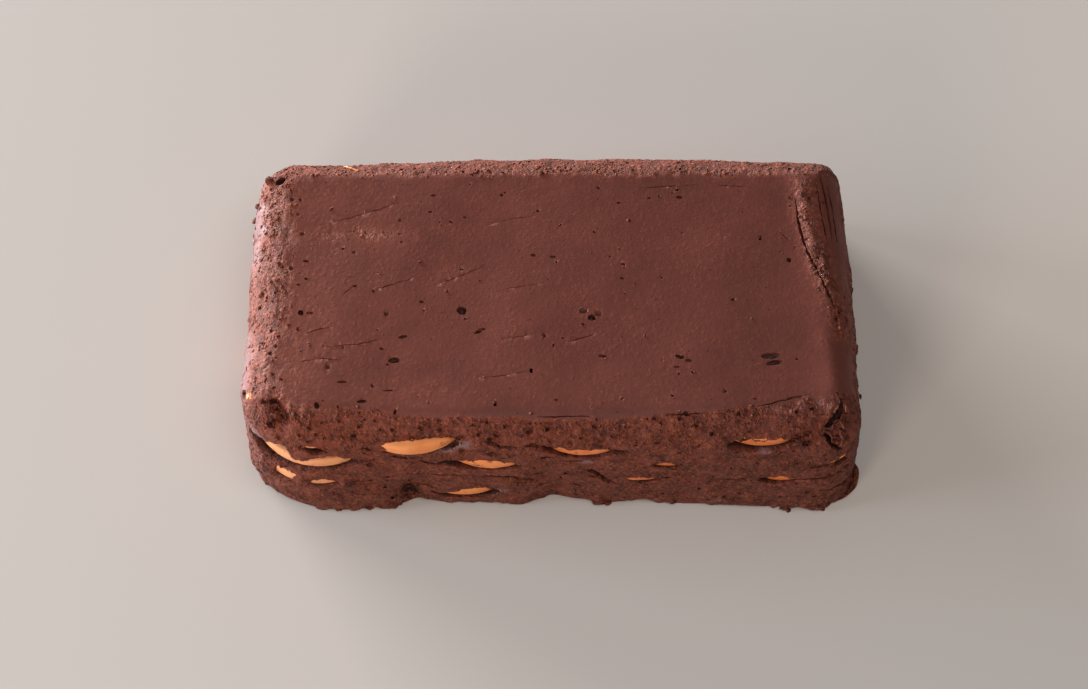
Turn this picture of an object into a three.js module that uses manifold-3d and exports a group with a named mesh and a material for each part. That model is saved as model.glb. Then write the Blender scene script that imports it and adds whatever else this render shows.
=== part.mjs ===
// Chocolate icebox cake: one chilled block of chocolate cream, turned out of a loaf mould, with
// round tea biscuits bedded in it in layers. The cake is uncut, so a biscuit is modelled only
// where its rim comes through the cream. Each of them is a whole disc that reaches into the block.
//
// Millimetres, +Z up. The origin is the middle of the face that the cake stands on. The front,
// where most biscuits show, faces -Y and the long side runs along X.
import * as THREE from "three";
import { mergeVertices } from "three/addons/utils/BufferGeometryUtils.js";
import Module from "manifold-3d";

const wasm = await Module();
wasm.setup();

// ---- Driving dimensions -------------------------------------------------------------------

const HEIGHT = 52;
// From the origin to each wall, at the bottom
const REACH = { front: 58, back: 60.5, left: 107.8, right: 107.4 };
// Each wall leans in by this much from the bottom to the top
const DRAFT = 3.5;
// Radius of the rounded edge round the top
const SHOULDER = 10.5;
// Radius of each upright corner, seen from above
const CORNER = { frontLeft: 26.5, frontRight: 15, backLeft: 17, backRight: 13 };

// The surface's grid: cells along X, along Y and up the walls, and how far it starts below the
// bottom, where it is cut flat
const CELLS = { x: 38, y: 22, z: 8 };
const SKIRT = 4;

const BISCUIT = { radius: 24.5, thickness: 5.5, edge: 1.3, sides: 22 };
// Space between a biscuit and the cream round it
const GAP = 0.3;
// The ball that every hollow and crevice is squeezed from
const SCOOP = { around: 8, upright: 5 };

// Bulges (+) and grooves (-) of a wall: middle, half width, how far out at the bottom, and the
// height at which they have faded
const SWELLS = {
  front: [
    { at: -73, half: 20, out: 2.4, top: 58 },
    { at: -46, half: 6, out: -2.6, top: 34 },
    { at: -28, half: 14, out: -0.3, top: 40 },
    { at: 0.5, half: 7, out: -3.2, top: 40 },
    { at: 11.5, half: 6, out: -1.6, top: 30 },
    { at: 33, half: 9, out: -1.4, top: 30 },
    { at: 90, half: 19, out: 1.6, top: 46 },
  ],
  back: [
    { at: 62, half: 16, out: -0.9, top: 44 },
    { at: 24, half: 8, out: -2.0, top: 36 },
    { at: -20, half: 7, out: -1.8, top: 34 },
    { at: -62, half: 18, out: -1.4, top: 60 },
    { at: 85, half: 48, out: -3.2, top: 400 },
    { at: -100, half: 26, out: -2.2, top: 400 },
  ],
  left: [
    { at: 42, half: 13, out: 1.8, top: 90 },
    { at: 30, half: 13, out: -1.6, top: 48 },
    { at: -12, half: 8, out: -1.2, top: 40 },
    { at: -58, half: 16, out: -2.8, top: 400 },
  ],
  right: [
    { at: -30, half: 12, out: -0.8, top: 40 },
    { at: 14, half: 9, out: -1.5, top: 42 },
    { at: 58, half: 26, out: -3.0, top: 400 },
  ],
};
// Low waves of a hand-filled mould: height, and the stretch of each of the two crossing waves
const WALL_WAVES = { height: 0.35, first: { along: 6.1, up: 9 }, second: { along: 17, up: 4.3 } };
const TOP_WAVES = { height: 0.25, first: { x: 14, y: 23 }, second: { x: -31, y: 11 } };
// The soft ridge along the right end of the top. It leans by 1 mm in "lean" towards the front.
const END_RIDGE = { x: 92, lean: 9, half: 5, height: 0.5 };

// The biscuits that come through a wall. "along" runs to the right as one faces that wall,
// "level" is the height of the lower face and "behind" is how far the rim stops short of the
// wall. "slant" is the tilt in degrees, up to the right. "bare" is the hollow that leaves the
// rim open: where it is, its width, height and depth.
const BISCUITS = [
  { name: "front_corner_mid", wall: "front", along: -79, level: 29.5, behind: -0.5, slant: 0,
    bare: { along: -80, width: 42, height: 8, depth: 5 } },
  { name: "front_corner_low", wall: "front", along: -80.5, level: 18, behind: -1.2, slant: -1,
    bare: { along: -84, width: 26, height: 6.4, depth: 3.6 } },
  { name: "front_left_top", wall: "front", along: -47.5, level: 40.2, behind: -1.6, slant: 1,
    bare: { along: -43, width: 27, height: 9, depth: 5 } },
  { name: "front_left_mid", wall: "front", along: -20.5, level: 28, behind: -0.3, slant: 0,
    bare: { along: -21.5, width: 22, height: 6.4, depth: 3.4 } },
  { name: "front_left_bottom", wall: "front", along: -30.5, level: 6, behind: 0.6, slant: 1,
    bare: { along: -30, width: 19, height: 6.6, depth: 3.6 } },
  { name: "front_left_low", wall: "front", along: -20.7, level: 17.5, behind: 0.8, slant: 0,
    bare: { along: -20.5, width: 8, height: 4, depth: 2.4 } },
  { name: "front_mid_top", wall: "front", along: 11, level: 36.5, behind: 0.3, slant: -1,
    bare: { along: 9.5, width: 22, height: 7, depth: 3.8 } },
  { name: "front_right_mid", wall: "front", along: 39.5, level: 28, behind: 0.8, slant: 0,
    bare: { along: 39.5, width: 11, height: 4.4, depth: 2.4 } },
  { name: "front_right_low", wall: "front", along: 30.1, level: 17.5, behind: 0.6, slant: 1,
    bare: { along: 33.5, width: 14, height: 4.6, depth: 3 } },
  { name: "front_right_top", wall: "front", along: 71, level: 41.5, behind: 1.4, slant: 0,
    bare: { along: 71.5, width: 22, height: 7.6, depth: 5 } },
  { name: "front_end_low", wall: "front", along: 80.9, level: 17.5, behind: 0.6, slant: 0,
    bare: { along: 79.5, width: 14, height: 4.6, depth: 4.2 } },
  { name: "back_corner_top", wall: "back", along: 70.6, level: 41, behind: 3.8, slant: 0,
    bare: { along: 68.5, width: 15, height: 8, depth: 6.5 } },
  { name: "back_right_low", wall: "back", along: -57, level: 18, behind: 0.6, slant: 1,
    bare: { along: -59, width: 19, height: 6.2, depth: 4.6 } },
  { name: "back_right_top", wall: "back", along: -33, level: 38, behind: 0.3, slant: -1,
    bare: { along: -31, width: 21, height: 7, depth: 3.8 } },
  { name: "back_mid_mid", wall: "back", along: -3, level: 28, behind: 0.4, slant: 0,
    bare: { along: -4, width: 15, height: 5.4, depth: 3.2 } },
  { name: "back_left_bottom", wall: "back", along: 26, level: 7, behind: 0.4, slant: -1,
    bare: { along: 27, width: 13, height: 5, depth: 4.2 } },
  { name: "back_left_mid", wall: "back", along: 50, level: 27, behind: 0.6, slant: 1,
    bare: { along: 48, width: 20, height: 6.6, depth: 4.4 } },
  { name: "left_front_bottom", wall: "left", along: 2, level: 7, behind: 0.4, slant: 0,
    bare: { along: 1, width: 15, height: 5.6, depth: 3.8 } },
  { name: "right_back_mid", wall: "right", along: 2, level: 28, behind: 0.6, slant: 0,
    bare: { along: 3, width: 18, height: 6, depth: 3.8 } },
  { name: "right_back_bottom", wall: "right", along: 8, level: 7, behind: 0.5, slant: 1,
    bare: { along: 6, width: 12, height: 4.8, depth: 3.4 } },
];

// Broken bits of biscuit. They keep "deep" of the rim's edge, "wide" across.
const BITS = [
  { name: "bit_front_corner", wall: "front", along: -80, level: 39, behind: 0.6, slant: 0, turn: 0,
    wide: 9, deep: 6, bare: { along: -79.6, width: 11, height: 6, depth: 3.4 } },
  { name: "bit_right_corner", wall: "front", along: 97.3, level: 27.5, behind: 3.8, slant: 4, turn: 32,
    wide: 8, deep: 5, bare: { along: 97.3, width: 14, height: 5, depth: 6.6 } },
  { name: "bit_left_wall", wall: "left", along: 38, level: 43.6, behind: 1.6, slant: 0, turn: 0,
    wide: 3, deep: 3.4, bare: { along: 38, width: 4.6, height: 6, depth: 3.6 } },
];

// Crevices and hollows in the walls with nothing in them
const CREVICES = [
  { wall: "front", along: -80, level: 17.6, width: 36, height: 1.5, depth: 4, slant: 2 },
  { wall: "front", along: -61.5, level: 42.3, width: 7, height: 1.8, depth: 3, slant: 0 },
  { wall: "front", along: -34, level: 30.4, width: 10, height: 1.4, depth: 3, slant: -2 },
  { wall: "front", along: -16, level: 44.2, width: 11, height: 1.8, depth: 4, slant: -20 },
  { wall: "front", along: -11, level: 20, width: 18, height: 1.4, depth: 3, slant: -14 },
  { wall: "front", along: 0, level: 40.6, width: 13, height: 1.8, depth: 4, slant: -26 },
  { wall: "front", along: -3, level: 34.4, width: 7, height: 1.4, depth: 3, slant: 14 },
  { wall: "front", along: 18.3, level: 22.2, width: 15, height: 1.8, depth: 3.6, slant: -39 },
  { wall: "front", along: 98, level: 31, width: 20, height: 1.6, depth: 4, behind: 3.6, turn: 35 },
  { wall: "front", along: 98, level: 22.6, width: 22, height: 1.4, depth: 4, behind: 3.6, turn: 35 },
  { wall: "front", along: 99, level: 11, width: 18, height: 1.4, depth: 4.6, behind: 3.6, turn: 38 },
  { wall: "right", along: -32, level: 17, width: 16, height: 1.6, depth: 3.4, slant: 8 },
  { wall: "right", along: 34, level: 38, width: 16, height: 1.6, depth: 3.4, slant: -5 },
  { wall: "back", along: 12, level: 18, width: 22, height: 1.5, depth: 3.4, slant: 4 },
  { wall: "back", along: -80, level: 32, width: 18, height: 1.5, depth: 5, slant: -6 },
  { wall: "left", along: -30, level: 24, width: 24, height: 1.5, depth: 3.4, slant: 5 },
];

// Larger hollows in the top: place, length along X, width and depth
const TOP_HOLLOWS = [
  { x: 12.6, y: -9.2, length: 8.4, width: 5.4, depth: 1.6 },
  { x: 74.5, y: -26, length: 8.6, width: 5, depth: 2.2 },
  { x: -30.7, y: -7.7, length: 4, width: 3.4, depth: 1.8 },
  { x: 44.9, y: -25.5, length: 5, width: 4, depth: 1.4 },
];

const FINISH = {
  cream: { color: 0x5e3729, roughness: 0.6 },
  biscuit: { color: 0xbd7a48, roughness: 0.8 },
};

// ---- The block's surface ------------------------------------------------------------------

// How often the way to the surface is halved, and lengths too small to matter
const HALVINGS = 40;
const TINY = 1e-6;
const WELD = 1e-5;

const MIDDLE = { x: (REACH.right - REACH.left) / 2, y: (REACH.back - REACH.front) / 2 };
const HALF = { x: (REACH.right + REACH.left) / 2, y: (REACH.back + REACH.front) / 2 };
const WIDEST_CORNER = Math.max(...Object.values(CORNER));
// Half sizes of the core that the grid is pushed out from
const CORE = { x: HALF.x - WIDEST_CORNER, y: HALF.y - WIDEST_CORNER, top: HEIGHT - SHOULDER };

function cornerRadius(x, y) {
  const side = x < 0 ? "Left" : "Right";
  return CORNER[(y < 0 ? "front" : "back") + side];
}

// Distance from a point, seen from above and measured from the block's middle, to the outline at
// the bottom (positive outside), and the direction that leads out of the nearest wall
function outline(x, y) {
  const radius = cornerRadius(x, y);
  const overX = Math.abs(x) - (HALF.x - radius);
  const overY = Math.abs(y) - (HALF.y - radius);
  const across = Math.hypot(Math.max(overX, 0), Math.max(overY, 0));
  const distance = across + Math.min(Math.max(overX, overY), 0) - radius;
  let out = overX > overY ? [Math.sign(x), 0] : [0, Math.sign(y)];
  if (overX > 0 && overY > 0) {
    out = [(Math.sign(x) * overX) / across, (Math.sign(y) * overY) / across];
  }
  return { distance, out };
}

function swellOf(wall, along, z) {
  let total = 0;
  for (const { at, half, out, top } of SWELLS[wall]) {
    const spread = (along - at) / half;
    const fade = Math.max(0, 1 - Math.max(z, 0) / top);
    total += out * Math.exp(-spread * spread) * fade;
  }
  return total;
}

// How far the walls stand out of their plain line, all round, with a low hand-made unevenness
function wallSwell(x, y, z, out) {
  const share = (part) => Math.max(part, 0) ** 2;
  const swell =
    share(-out[1]) * swellOf("front", x, z) +
    share(out[1]) * swellOf("back", -x, z) +
    share(-out[0]) * swellOf("left", -y, z) +
    share(out[0]) * swellOf("right", y, z);
  const along = x - y;
  const { height, first, second } = WALL_WAVES;
  const wave = Math.sin(along / first.along + z / first.up);
  return swell + height * wave * Math.sin(along / second.along + z / second.up);
}

// The top is nearly level: low waves, and a soft ridge along its right end
function topSwell(x, y) {
  const { height, first, second } = TOP_WAVES;
  const wave = Math.sin(x / first.x + y / first.y) * Math.sin(x / second.x + y / second.y);
  const across = (x - END_RIDGE.x + y / END_RIDGE.lean) / END_RIDGE.half;
  return height * wave + END_RIDGE.height * Math.exp(-(across ** 2));
}

// Negative inside the block, positive outside: a leaning wall and a top, rounded together
function cakeDistance(x, y, z) {
  const { distance, out } = outline(x - MIDDLE.x, y - MIDDLE.y);
  const wall = distance + (DRAFT * z) / HEIGHT - wallSwell(x, y, z, out);
  const top = z - HEIGHT - topSwell(x, y);
  if (wall > -SHOULDER && top > -SHOULDER) {
    return Math.hypot(wall + SHOULDER, top + SHOULDER) - SHOULDER;
  }
  return Math.max(wall, top);
}

// Length of the way from a point inside, along a direction, to the surface
function wayOut(start, direction) {
  let near = 0;
  let far = 2 * WIDEST_CORNER;
  const point = new THREE.Vector3();
  for (let step = 0; step < HALVINGS; step += 1) {
    const middle = (near + far) / 2;
    point.copy(start).addScaledVector(direction, middle);
    if (cakeDistance(point.x, point.y, point.z) < 0) near = middle;
    else far = middle;
  }
  return near;
}

// Draws grid lines together towards both ends of -1 to 1, where the block is rounded
function crowd(t) {
  return (5 * t - t ** 3) / 4;
}

// One vertex of a plain box, put on the block's surface
function pushOut(vertex) {
  const across = crowd(vertex.x / HALF.x) * HALF.x;
  const deep = crowd(vertex.y / HALF.y) * HALF.y;
  const core = new THREE.Vector3(
    THREE.MathUtils.clamp(across, -CORE.x, CORE.x) + MIDDLE.x,
    THREE.MathUtils.clamp(deep, -CORE.y, CORE.y) + MIDDLE.y,
    Math.min(vertex.z, CORE.top),
  );
  const direction = new THREE.Vector3(across + MIDDLE.x, deep + MIDDLE.y, vertex.z).sub(core);
  const length = direction.length();
  if (length < TINY) return core;
  direction.divideScalar(length);
  // Under the block the vertices stay spread out, from the core to the wall
  const edgeX = (Math.abs(across) - CORE.x) / (HALF.x - CORE.x);
  const edgeY = (Math.abs(deep) - CORE.y) / (HALF.y - CORE.y);
  const share = vertex.z > -SKIRT + TINY ? 1 : Math.max(edgeX, edgeY);
  return core.addScaledVector(direction, wayOut(core, direction) * share);
}

function blockGeometry() {
  const tall = HEIGHT + SKIRT;
  const box = new THREE.BoxGeometry(2 * HALF.x, 2 * HALF.y, tall, CELLS.x, CELLS.y, CELLS.z);
  box.translate(0, 0, tall / 2 - SKIRT);
  const position = box.attributes.position;
  for (let index = 0; index < position.count; index += 1) {
    const placed = pushOut(new THREE.Vector3().fromBufferAttribute(position, index));
    position.setXYZ(index, placed.x, placed.y, placed.z);
  }
  return box;
}

// ---- Biscuits, and what is cut out of the cream ----------------------------------------------

// A round biscuit, or the space for one, lying on z = 0 round the Z axis
function discGeometry(grow) {
  const radius = BISCUIT.radius + grow;
  const top = BISCUIT.thickness + grow;
  const { edge, sides } = BISCUIT;
  const profile = [
    new THREE.Vector2(0, -grow),
    new THREE.Vector2(radius - edge, -grow),
    new THREE.Vector2(radius, BISCUIT.thickness / 2),
    new THREE.Vector2(radius - edge, top),
    new THREE.Vector2(0, top),
  ];
  return new THREE.LatheGeometry(profile, sides).rotateX(Math.PI / 2);
}

// Which way each wall faces, as a turn about Z from the front
const TURN = { front: 0, right: Math.PI / 2, back: Math.PI, left: -Math.PI / 2 };

// A group at a point of a wall: its X runs along the wall, to the right, and its -Y points out
function onWall({ wall, along, level, behind = 0, slant = 0, turn = 0 }) {
  const group = new THREE.Group();
  group.rotation.z = TURN[wall];
  const spot = new THREE.Group();
  const out = REACH[wall] - (DRAFT * level) / HEIGHT - behind;
  spot.position.set(along, -out, level);
  spot.rotation.set(0, -THREE.MathUtils.degToRad(slant), THREE.MathUtils.degToRad(turn), "ZYX");
  group.add(spot);
  return { group, spot };
}

// A geometry as it lies once its mesh is in place
function inPlace(place, geometry, at = [0, 0, 0], size = [1, 1, 1]) {
  const { group, spot } = onWall(place);
  const holder = new THREE.Object3D();
  holder.position.set(...at);
  holder.scale.set(...size);
  spot.add(holder);
  group.updateMatrixWorld(true);
  return geometry.clone().applyMatrix4(holder.matrixWorld);
}

function toSolid(geometry) {
  const bare = geometry.clone();
  bare.deleteAttribute("normal");
  bare.deleteAttribute("uv");
  const merged = mergeVertices(bare, WELD);
  const mesh = new wasm.Mesh({
    numProp: 3,
    vertProperties: new Float32Array(merged.attributes.position.array),
    triVerts: new Uint32Array(merged.index.array),
  });
  return new wasm.Manifold(mesh);
}

function fromSolid(solid) {
  const { vertProperties, triVerts } = solid.getMesh();
  const geometry = new THREE.BufferGeometry();
  geometry.setAttribute("position", new THREE.BufferAttribute(vertProperties, 3));
  geometry.setIndex(new THREE.BufferAttribute(triVerts, 1));
  return geometry;
}

const SIT = [0, BISCUIT.radius, 0];

// What is left of a biscuit after it broke: a stretch of its rim
function bitGeometry({ wide, deep }, grow) {
  const reach = 2 * (deep + grow);
  const tall = 2 * BISCUIT.thickness;
  const block = new THREE.BoxGeometry(wide + 2 * grow, reach, 2 * tall);
  block.translate(0, -BISCUIT.radius, 0);
  return fromSolid(toSolid(discGeometry(grow)).intersect(toSolid(block)));
}

// A ball squeezed to a hollow's width, depth and height, halfway out of the wall
function scoop({ width, depth, height, ...place }, raise) {
  const ball = new THREE.SphereGeometry(1, SCOOP.around, SCOOP.upright);
  return toSolid(inPlace(place, ball, [0, 0, raise], [width / 2, depth, height / 2]));
}

function topScoop({ x, y, length, width, depth }) {
  const ball = new THREE.SphereGeometry(1, SCOOP.around, SCOOP.upright);
  ball.scale(length / 2, width / 2, depth).translate(x, y, HEIGHT);
  return toSolid(ball);
}

function creamSolid() {
  const far = 2 * REACH.right;
  const above = new THREE.BoxGeometry(2 * far, 2 * far, far).translate(0, 0, far / 2);
  let cream = toSolid(blockGeometry()).intersect(toSolid(above));
  for (const biscuit of BISCUITS) {
    cream = cream.subtract(toSolid(inPlace(biscuit, discGeometry(GAP), SIT)));
  }
  for (const bit of BITS) {
    cream = cream.subtract(toSolid(inPlace(bit, bitGeometry(bit, GAP), SIT)));
  }
  for (const { wall, level, slant, bare } of [...BISCUITS, ...BITS]) {
    cream = cream.subtract(scoop({ wall, level, slant, ...bare }, BISCUIT.thickness / 2));
  }
  for (const crevice of CREVICES) {
    cream = cream.subtract(scoop(crevice, 0));
  }
  for (const hollow of TOP_HOLLOWS) {
    cream = cream.subtract(topScoop(hollow));
  }
  return cream;
}

// ---- The object ------------------------------------------------------------------------------

function namedMesh(name, geometry, finish) {
  const material = new THREE.MeshStandardMaterial({ ...finish, metalness: 0 });
  const mesh = new THREE.Mesh(geometry, material);
  mesh.name = name;
  return mesh;
}

function creamBlock() {
  return namedMesh("chocolate_cream", fromSolid(creamSolid()), FINISH.cream);
}

function biscuit(place, geometry) {
  const { group, spot } = onWall(place);
  const mesh = namedMesh(`biscuit_${place.name}`, geometry, FINISH.biscuit);
  mesh.position.set(...SIT);
  spot.add(mesh);
  return group;
}

const cake = new THREE.Group();
cake.add(creamBlock());
for (const place of BISCUITS) cake.add(biscuit(place, discGeometry(0)));
for (const bit of BITS) cake.add(biscuit(bit, bitGeometry(bit, 0)));

export default cake;
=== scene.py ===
"""A chocolate icebox cake: a chilled block of chocolate cream with tea biscuits showing at its sides.

The block repeats the named sizes of the solid model on a much finer grid. Crevices, torn openings
and air pits are cut into it, then the whole skin gets its relief, and crumbs are strewn over the
torn parts. Each biscuit takes its place from its own solid.
Lengths are millimetres until a mesh is made, because that is how the cake was measured.
"""

import math

import bmesh
import bpy
import numpy as np
from mathutils import Matrix, Vector, noise


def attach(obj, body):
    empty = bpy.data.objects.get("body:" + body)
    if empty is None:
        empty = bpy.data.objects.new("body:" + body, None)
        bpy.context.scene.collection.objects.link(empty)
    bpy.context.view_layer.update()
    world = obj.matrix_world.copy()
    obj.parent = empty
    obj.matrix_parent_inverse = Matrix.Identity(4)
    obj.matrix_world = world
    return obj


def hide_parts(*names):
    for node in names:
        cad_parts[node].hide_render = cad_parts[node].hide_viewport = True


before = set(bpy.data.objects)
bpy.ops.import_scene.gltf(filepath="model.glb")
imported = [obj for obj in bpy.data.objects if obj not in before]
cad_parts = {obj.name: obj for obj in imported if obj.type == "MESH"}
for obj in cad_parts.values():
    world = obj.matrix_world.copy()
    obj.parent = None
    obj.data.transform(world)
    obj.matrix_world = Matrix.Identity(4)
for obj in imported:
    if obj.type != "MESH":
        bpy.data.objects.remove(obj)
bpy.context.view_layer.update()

MM = 0.001
TINY = 1e-9

# ---- The block ----------------------------------------------------------------------------

HEIGHT = 52.0
# From the origin to each wall, at the bottom
REACH = {"front": 58.0, "back": 60.5, "left": 107.8, "right": 107.4}
# Each wall leans in by this much from the bottom to the top
DRAFT = 3.5
# Radius of the rounded edge round the top
SHOULDER = 10.5
# How far the bottom edge turns in, and how high it starts to
TUCK = {"deep": 0.9, "high": 2.0}
# Radius of each upright corner, seen from above
CORNER = {"front_left": 26.5, "front_right": 15.0, "back_left": 17.0, "back_right": 13.0}

# Grid cells along X, along Y and up the walls
CELLS = (268, 78, 58)

# Bulges (+) and grooves (-) of a wall: middle, half width, how far out at the bottom, and the
# height at which they have faded
SWELLS = {
    "front": ((-73, 20, 2.4, 58), (-46, 6, -2.6, 34), (-28, 14, -0.3, 40), (0.5, 7, -3.2, 40),
              (11.5, 6, -1.6, 30), (33, 9, -1.4, 30), (90, 19, 1.6, 46)),
    "back": ((62, 16, -0.9, 44), (24, 8, -2.0, 36), (-20, 7, -1.8, 34), (-62, 18, -1.4, 60),
             (85, 48, -3.2, 400), (-100, 26, -2.2, 400)),
    "left": ((42, 13, 1.8, 90), (30, 13, -1.6, 48), (-12, 8, -1.2, 40), (-58, 16, -2.8, 400)),
    "right": ((-30, 12, -0.8, 40), (14, 9, -1.5, 42), (58, 26, -3.0, 400)),
}
# Low waves of a hand-filled mould: height, and the stretch of each of the two crossing waves
WALL_WAVES = (0.35, (6.1, 9.0), (17.0, 4.3))
TOP_WAVES = (0.25, (14.0, 23.0), (-31.0, 11.0))
# The soft ridge along the right end of the top: place, lean, half width and height
END_RIDGE = (92.0, 9.0, 5.0, 0.5)

HALF_X = (REACH["right"] + REACH["left"]) / 2
HALF_Y = (REACH["back"] + REACH["front"]) / 2
MIDDLE = np.array([(REACH["right"] - REACH["left"]) / 2, (REACH["back"] - REACH["front"]) / 2])
CORE = np.array([HALF_X, HALF_Y]) - max(CORNER.values())
CORE_TOP = HEIGHT - SHOULDER
HALVINGS = 26
# Edges shorter than this are melted away after cutting
SLIVER = 0.12
# Cream that lies this far under the skin is painted dark all through: painted shade in the cuts and
# crevices
SHADED = 1.6
# The relief fades out below this height, and points lower than the second one are the underside
FLAT_BELOW = 0.8
UNDERSIDE = 0.01
# Torn edges turn sharper than this
SHARP = math.radians(52)


def smooth(t):
    """0 to 1 without corners, for t from 0 to 1."""
    t = np.clip(t, 0.0, 1.0)
    return t * t * (3.0 - 2.0 * t)


def outline(x, y):
    """Distance outside the block's outline at the bottom, seen from above, and the way out."""
    radius = np.where(
        y < 0,
        np.where(x < 0, CORNER["front_left"], CORNER["front_right"]),
        np.where(x < 0, CORNER["back_left"], CORNER["back_right"]),
    )
    over_x = np.abs(x) - (HALF_X - radius)
    over_y = np.abs(y) - (HALF_Y - radius)
    across = np.hypot(np.maximum(over_x, 0), np.maximum(over_y, 0))
    distance = across + np.minimum(np.maximum(over_x, over_y), 0) - radius
    corner = (over_x > 0) & (over_y > 0)
    safe = np.maximum(across, TINY)
    out_x = np.sign(x) * np.where(corner, over_x / safe, over_x > over_y)
    out_y = np.sign(y) * np.where(corner, over_y / safe, over_x <= over_y)
    return distance, out_x, out_y


def swell_of(wall, along, z):
    total = np.zeros_like(z)
    for at, half, out, top in SWELLS[wall]:
        fade = np.clip(1 - np.maximum(z, 0) / top, 0, None)
        total += out * np.exp(-(((along - at) / half) ** 2)) * fade
    return total


def crossed_waves(waves, across, up):
    """Two sine waves that cross each other at a slant."""
    height, first, second = waves
    one = np.sin(across / first[0] + up / first[1])
    other = np.sin(across / second[0] + up / second[1])
    return height * one * other


def wall_swell(x, y, z, out_x, out_y):
    """How far the walls stand out of their plain line, all round."""
    swell = np.maximum(-out_y, 0) ** 2 * swell_of("front", x, z)
    swell += np.maximum(out_y, 0) ** 2 * swell_of("back", -x, z)
    swell += np.maximum(-out_x, 0) ** 2 * swell_of("left", -y, z)
    swell += np.maximum(out_x, 0) ** 2 * swell_of("right", y, z)
    return swell + crossed_waves(WALL_WAVES, x - y, z)


def top_swell(x, y):
    """The top is nearly level: low waves, and a soft ridge along its right end."""
    at, lean, half, height = END_RIDGE
    ridge = np.exp(-(((x - at + y / lean) / half) ** 2))
    return crossed_waves(TOP_WAVES, x, y) + height * ridge


def cake_distance(points):
    """Negative inside the block and positive outside: a leaning wall and a top, rounded together."""
    x, y, z = points.T
    distance, out_x, out_y = outline(x - MIDDLE[0], y - MIDDLE[1])
    tuck = TUCK["deep"] * np.clip(1 - z / TUCK["high"], 0, 1) ** 2
    wall = distance + DRAFT * z / HEIGHT + tuck - wall_swell(x, y, z, out_x, out_y)
    top = z - HEIGHT - top_swell(x, y)
    rounded = np.hypot(wall + SHOULDER, top + SHOULDER) - SHOULDER
    both = (wall > -SHOULDER) & (top > -SHOULDER)
    return np.where(both, rounded, np.maximum(wall, top))


def onto_block(box_points):
    """Points of a plain box, pushed out from the block's core onto its surface."""
    core = box_points.copy()
    core[:, :2] = np.clip(core[:, :2] - MIDDLE, -CORE, CORE) + MIDDLE
    core[:, 2] = np.minimum(core[:, 2], CORE_TOP)
    way = box_points - core
    way /= np.maximum(np.linalg.norm(way, axis=1, keepdims=True), TINY)
    near = np.zeros(len(core))
    far = np.full(len(core), 2 * max(CORNER.values()))
    for _ in range(HALVINGS):
        middle = (near + far) / 2
        inside = cake_distance(core + way * middle[:, None]) < 0
        near = np.where(inside, middle, near)
        far = np.where(inside, far, middle)
    return core + way * near[:, None]


def way_out_at(points):
    """Unit vectors that point out of the block at points on its surface."""
    step = 0.05
    slopes = []
    for shift in np.eye(3) * step:
        slopes.append(cake_distance(points + shift) - cake_distance(points - shift))
    normals = np.stack(slopes, axis=1)
    return normals / np.maximum(np.linalg.norm(normals, axis=1, keepdims=True), TINY)


# Each wall: which way it runs to the right as one faces it, which way it faces, and its half length
WALLS = {
    "front": ((1, 0), (0, -1), HALF_X, HALF_Y),
    "right": ((0, 1), (1, 0), HALF_Y, HALF_X),
    "back": ((-1, 0), (0, 1), HALF_X, HALF_Y),
    "left": ((0, -1), (-1, 0), HALF_Y, HALF_X),
}


def wall_points(wall, along, level):
    """Points on the skin of a wall. Past the wall's end they carry on round the corner."""
    run, face, half, out = WALLS[wall]
    along, level = np.broadcast_arrays(np.asarray(along, float), np.asarray(level, float))
    over = np.maximum(np.abs(along) - half, 0)
    flat = np.outer(np.clip(along, -half, half), run) + np.outer(out - over, face) + MIDDLE
    return onto_block(np.column_stack([flat, level]))


def top_points(spots):
    """Points on the skin of the top, from their places seen from above."""
    spots = np.asarray(spots, float)
    return onto_block(np.column_stack([spots, np.full(len(spots), HEIGHT)]))


def grain(points, lump, octaves=1, shift=0.0):
    """Smooth noise over points, about -1 to 1, with lumps of the given size."""
    spots = np.asarray(points, float) / lump + shift
    return np.array([noise.fractal(Vector(spot), 1.0, 2.0, octaves) for spot in spots])


# ---- Openings, crevices and pits ------------------------------------------------------------

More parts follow.
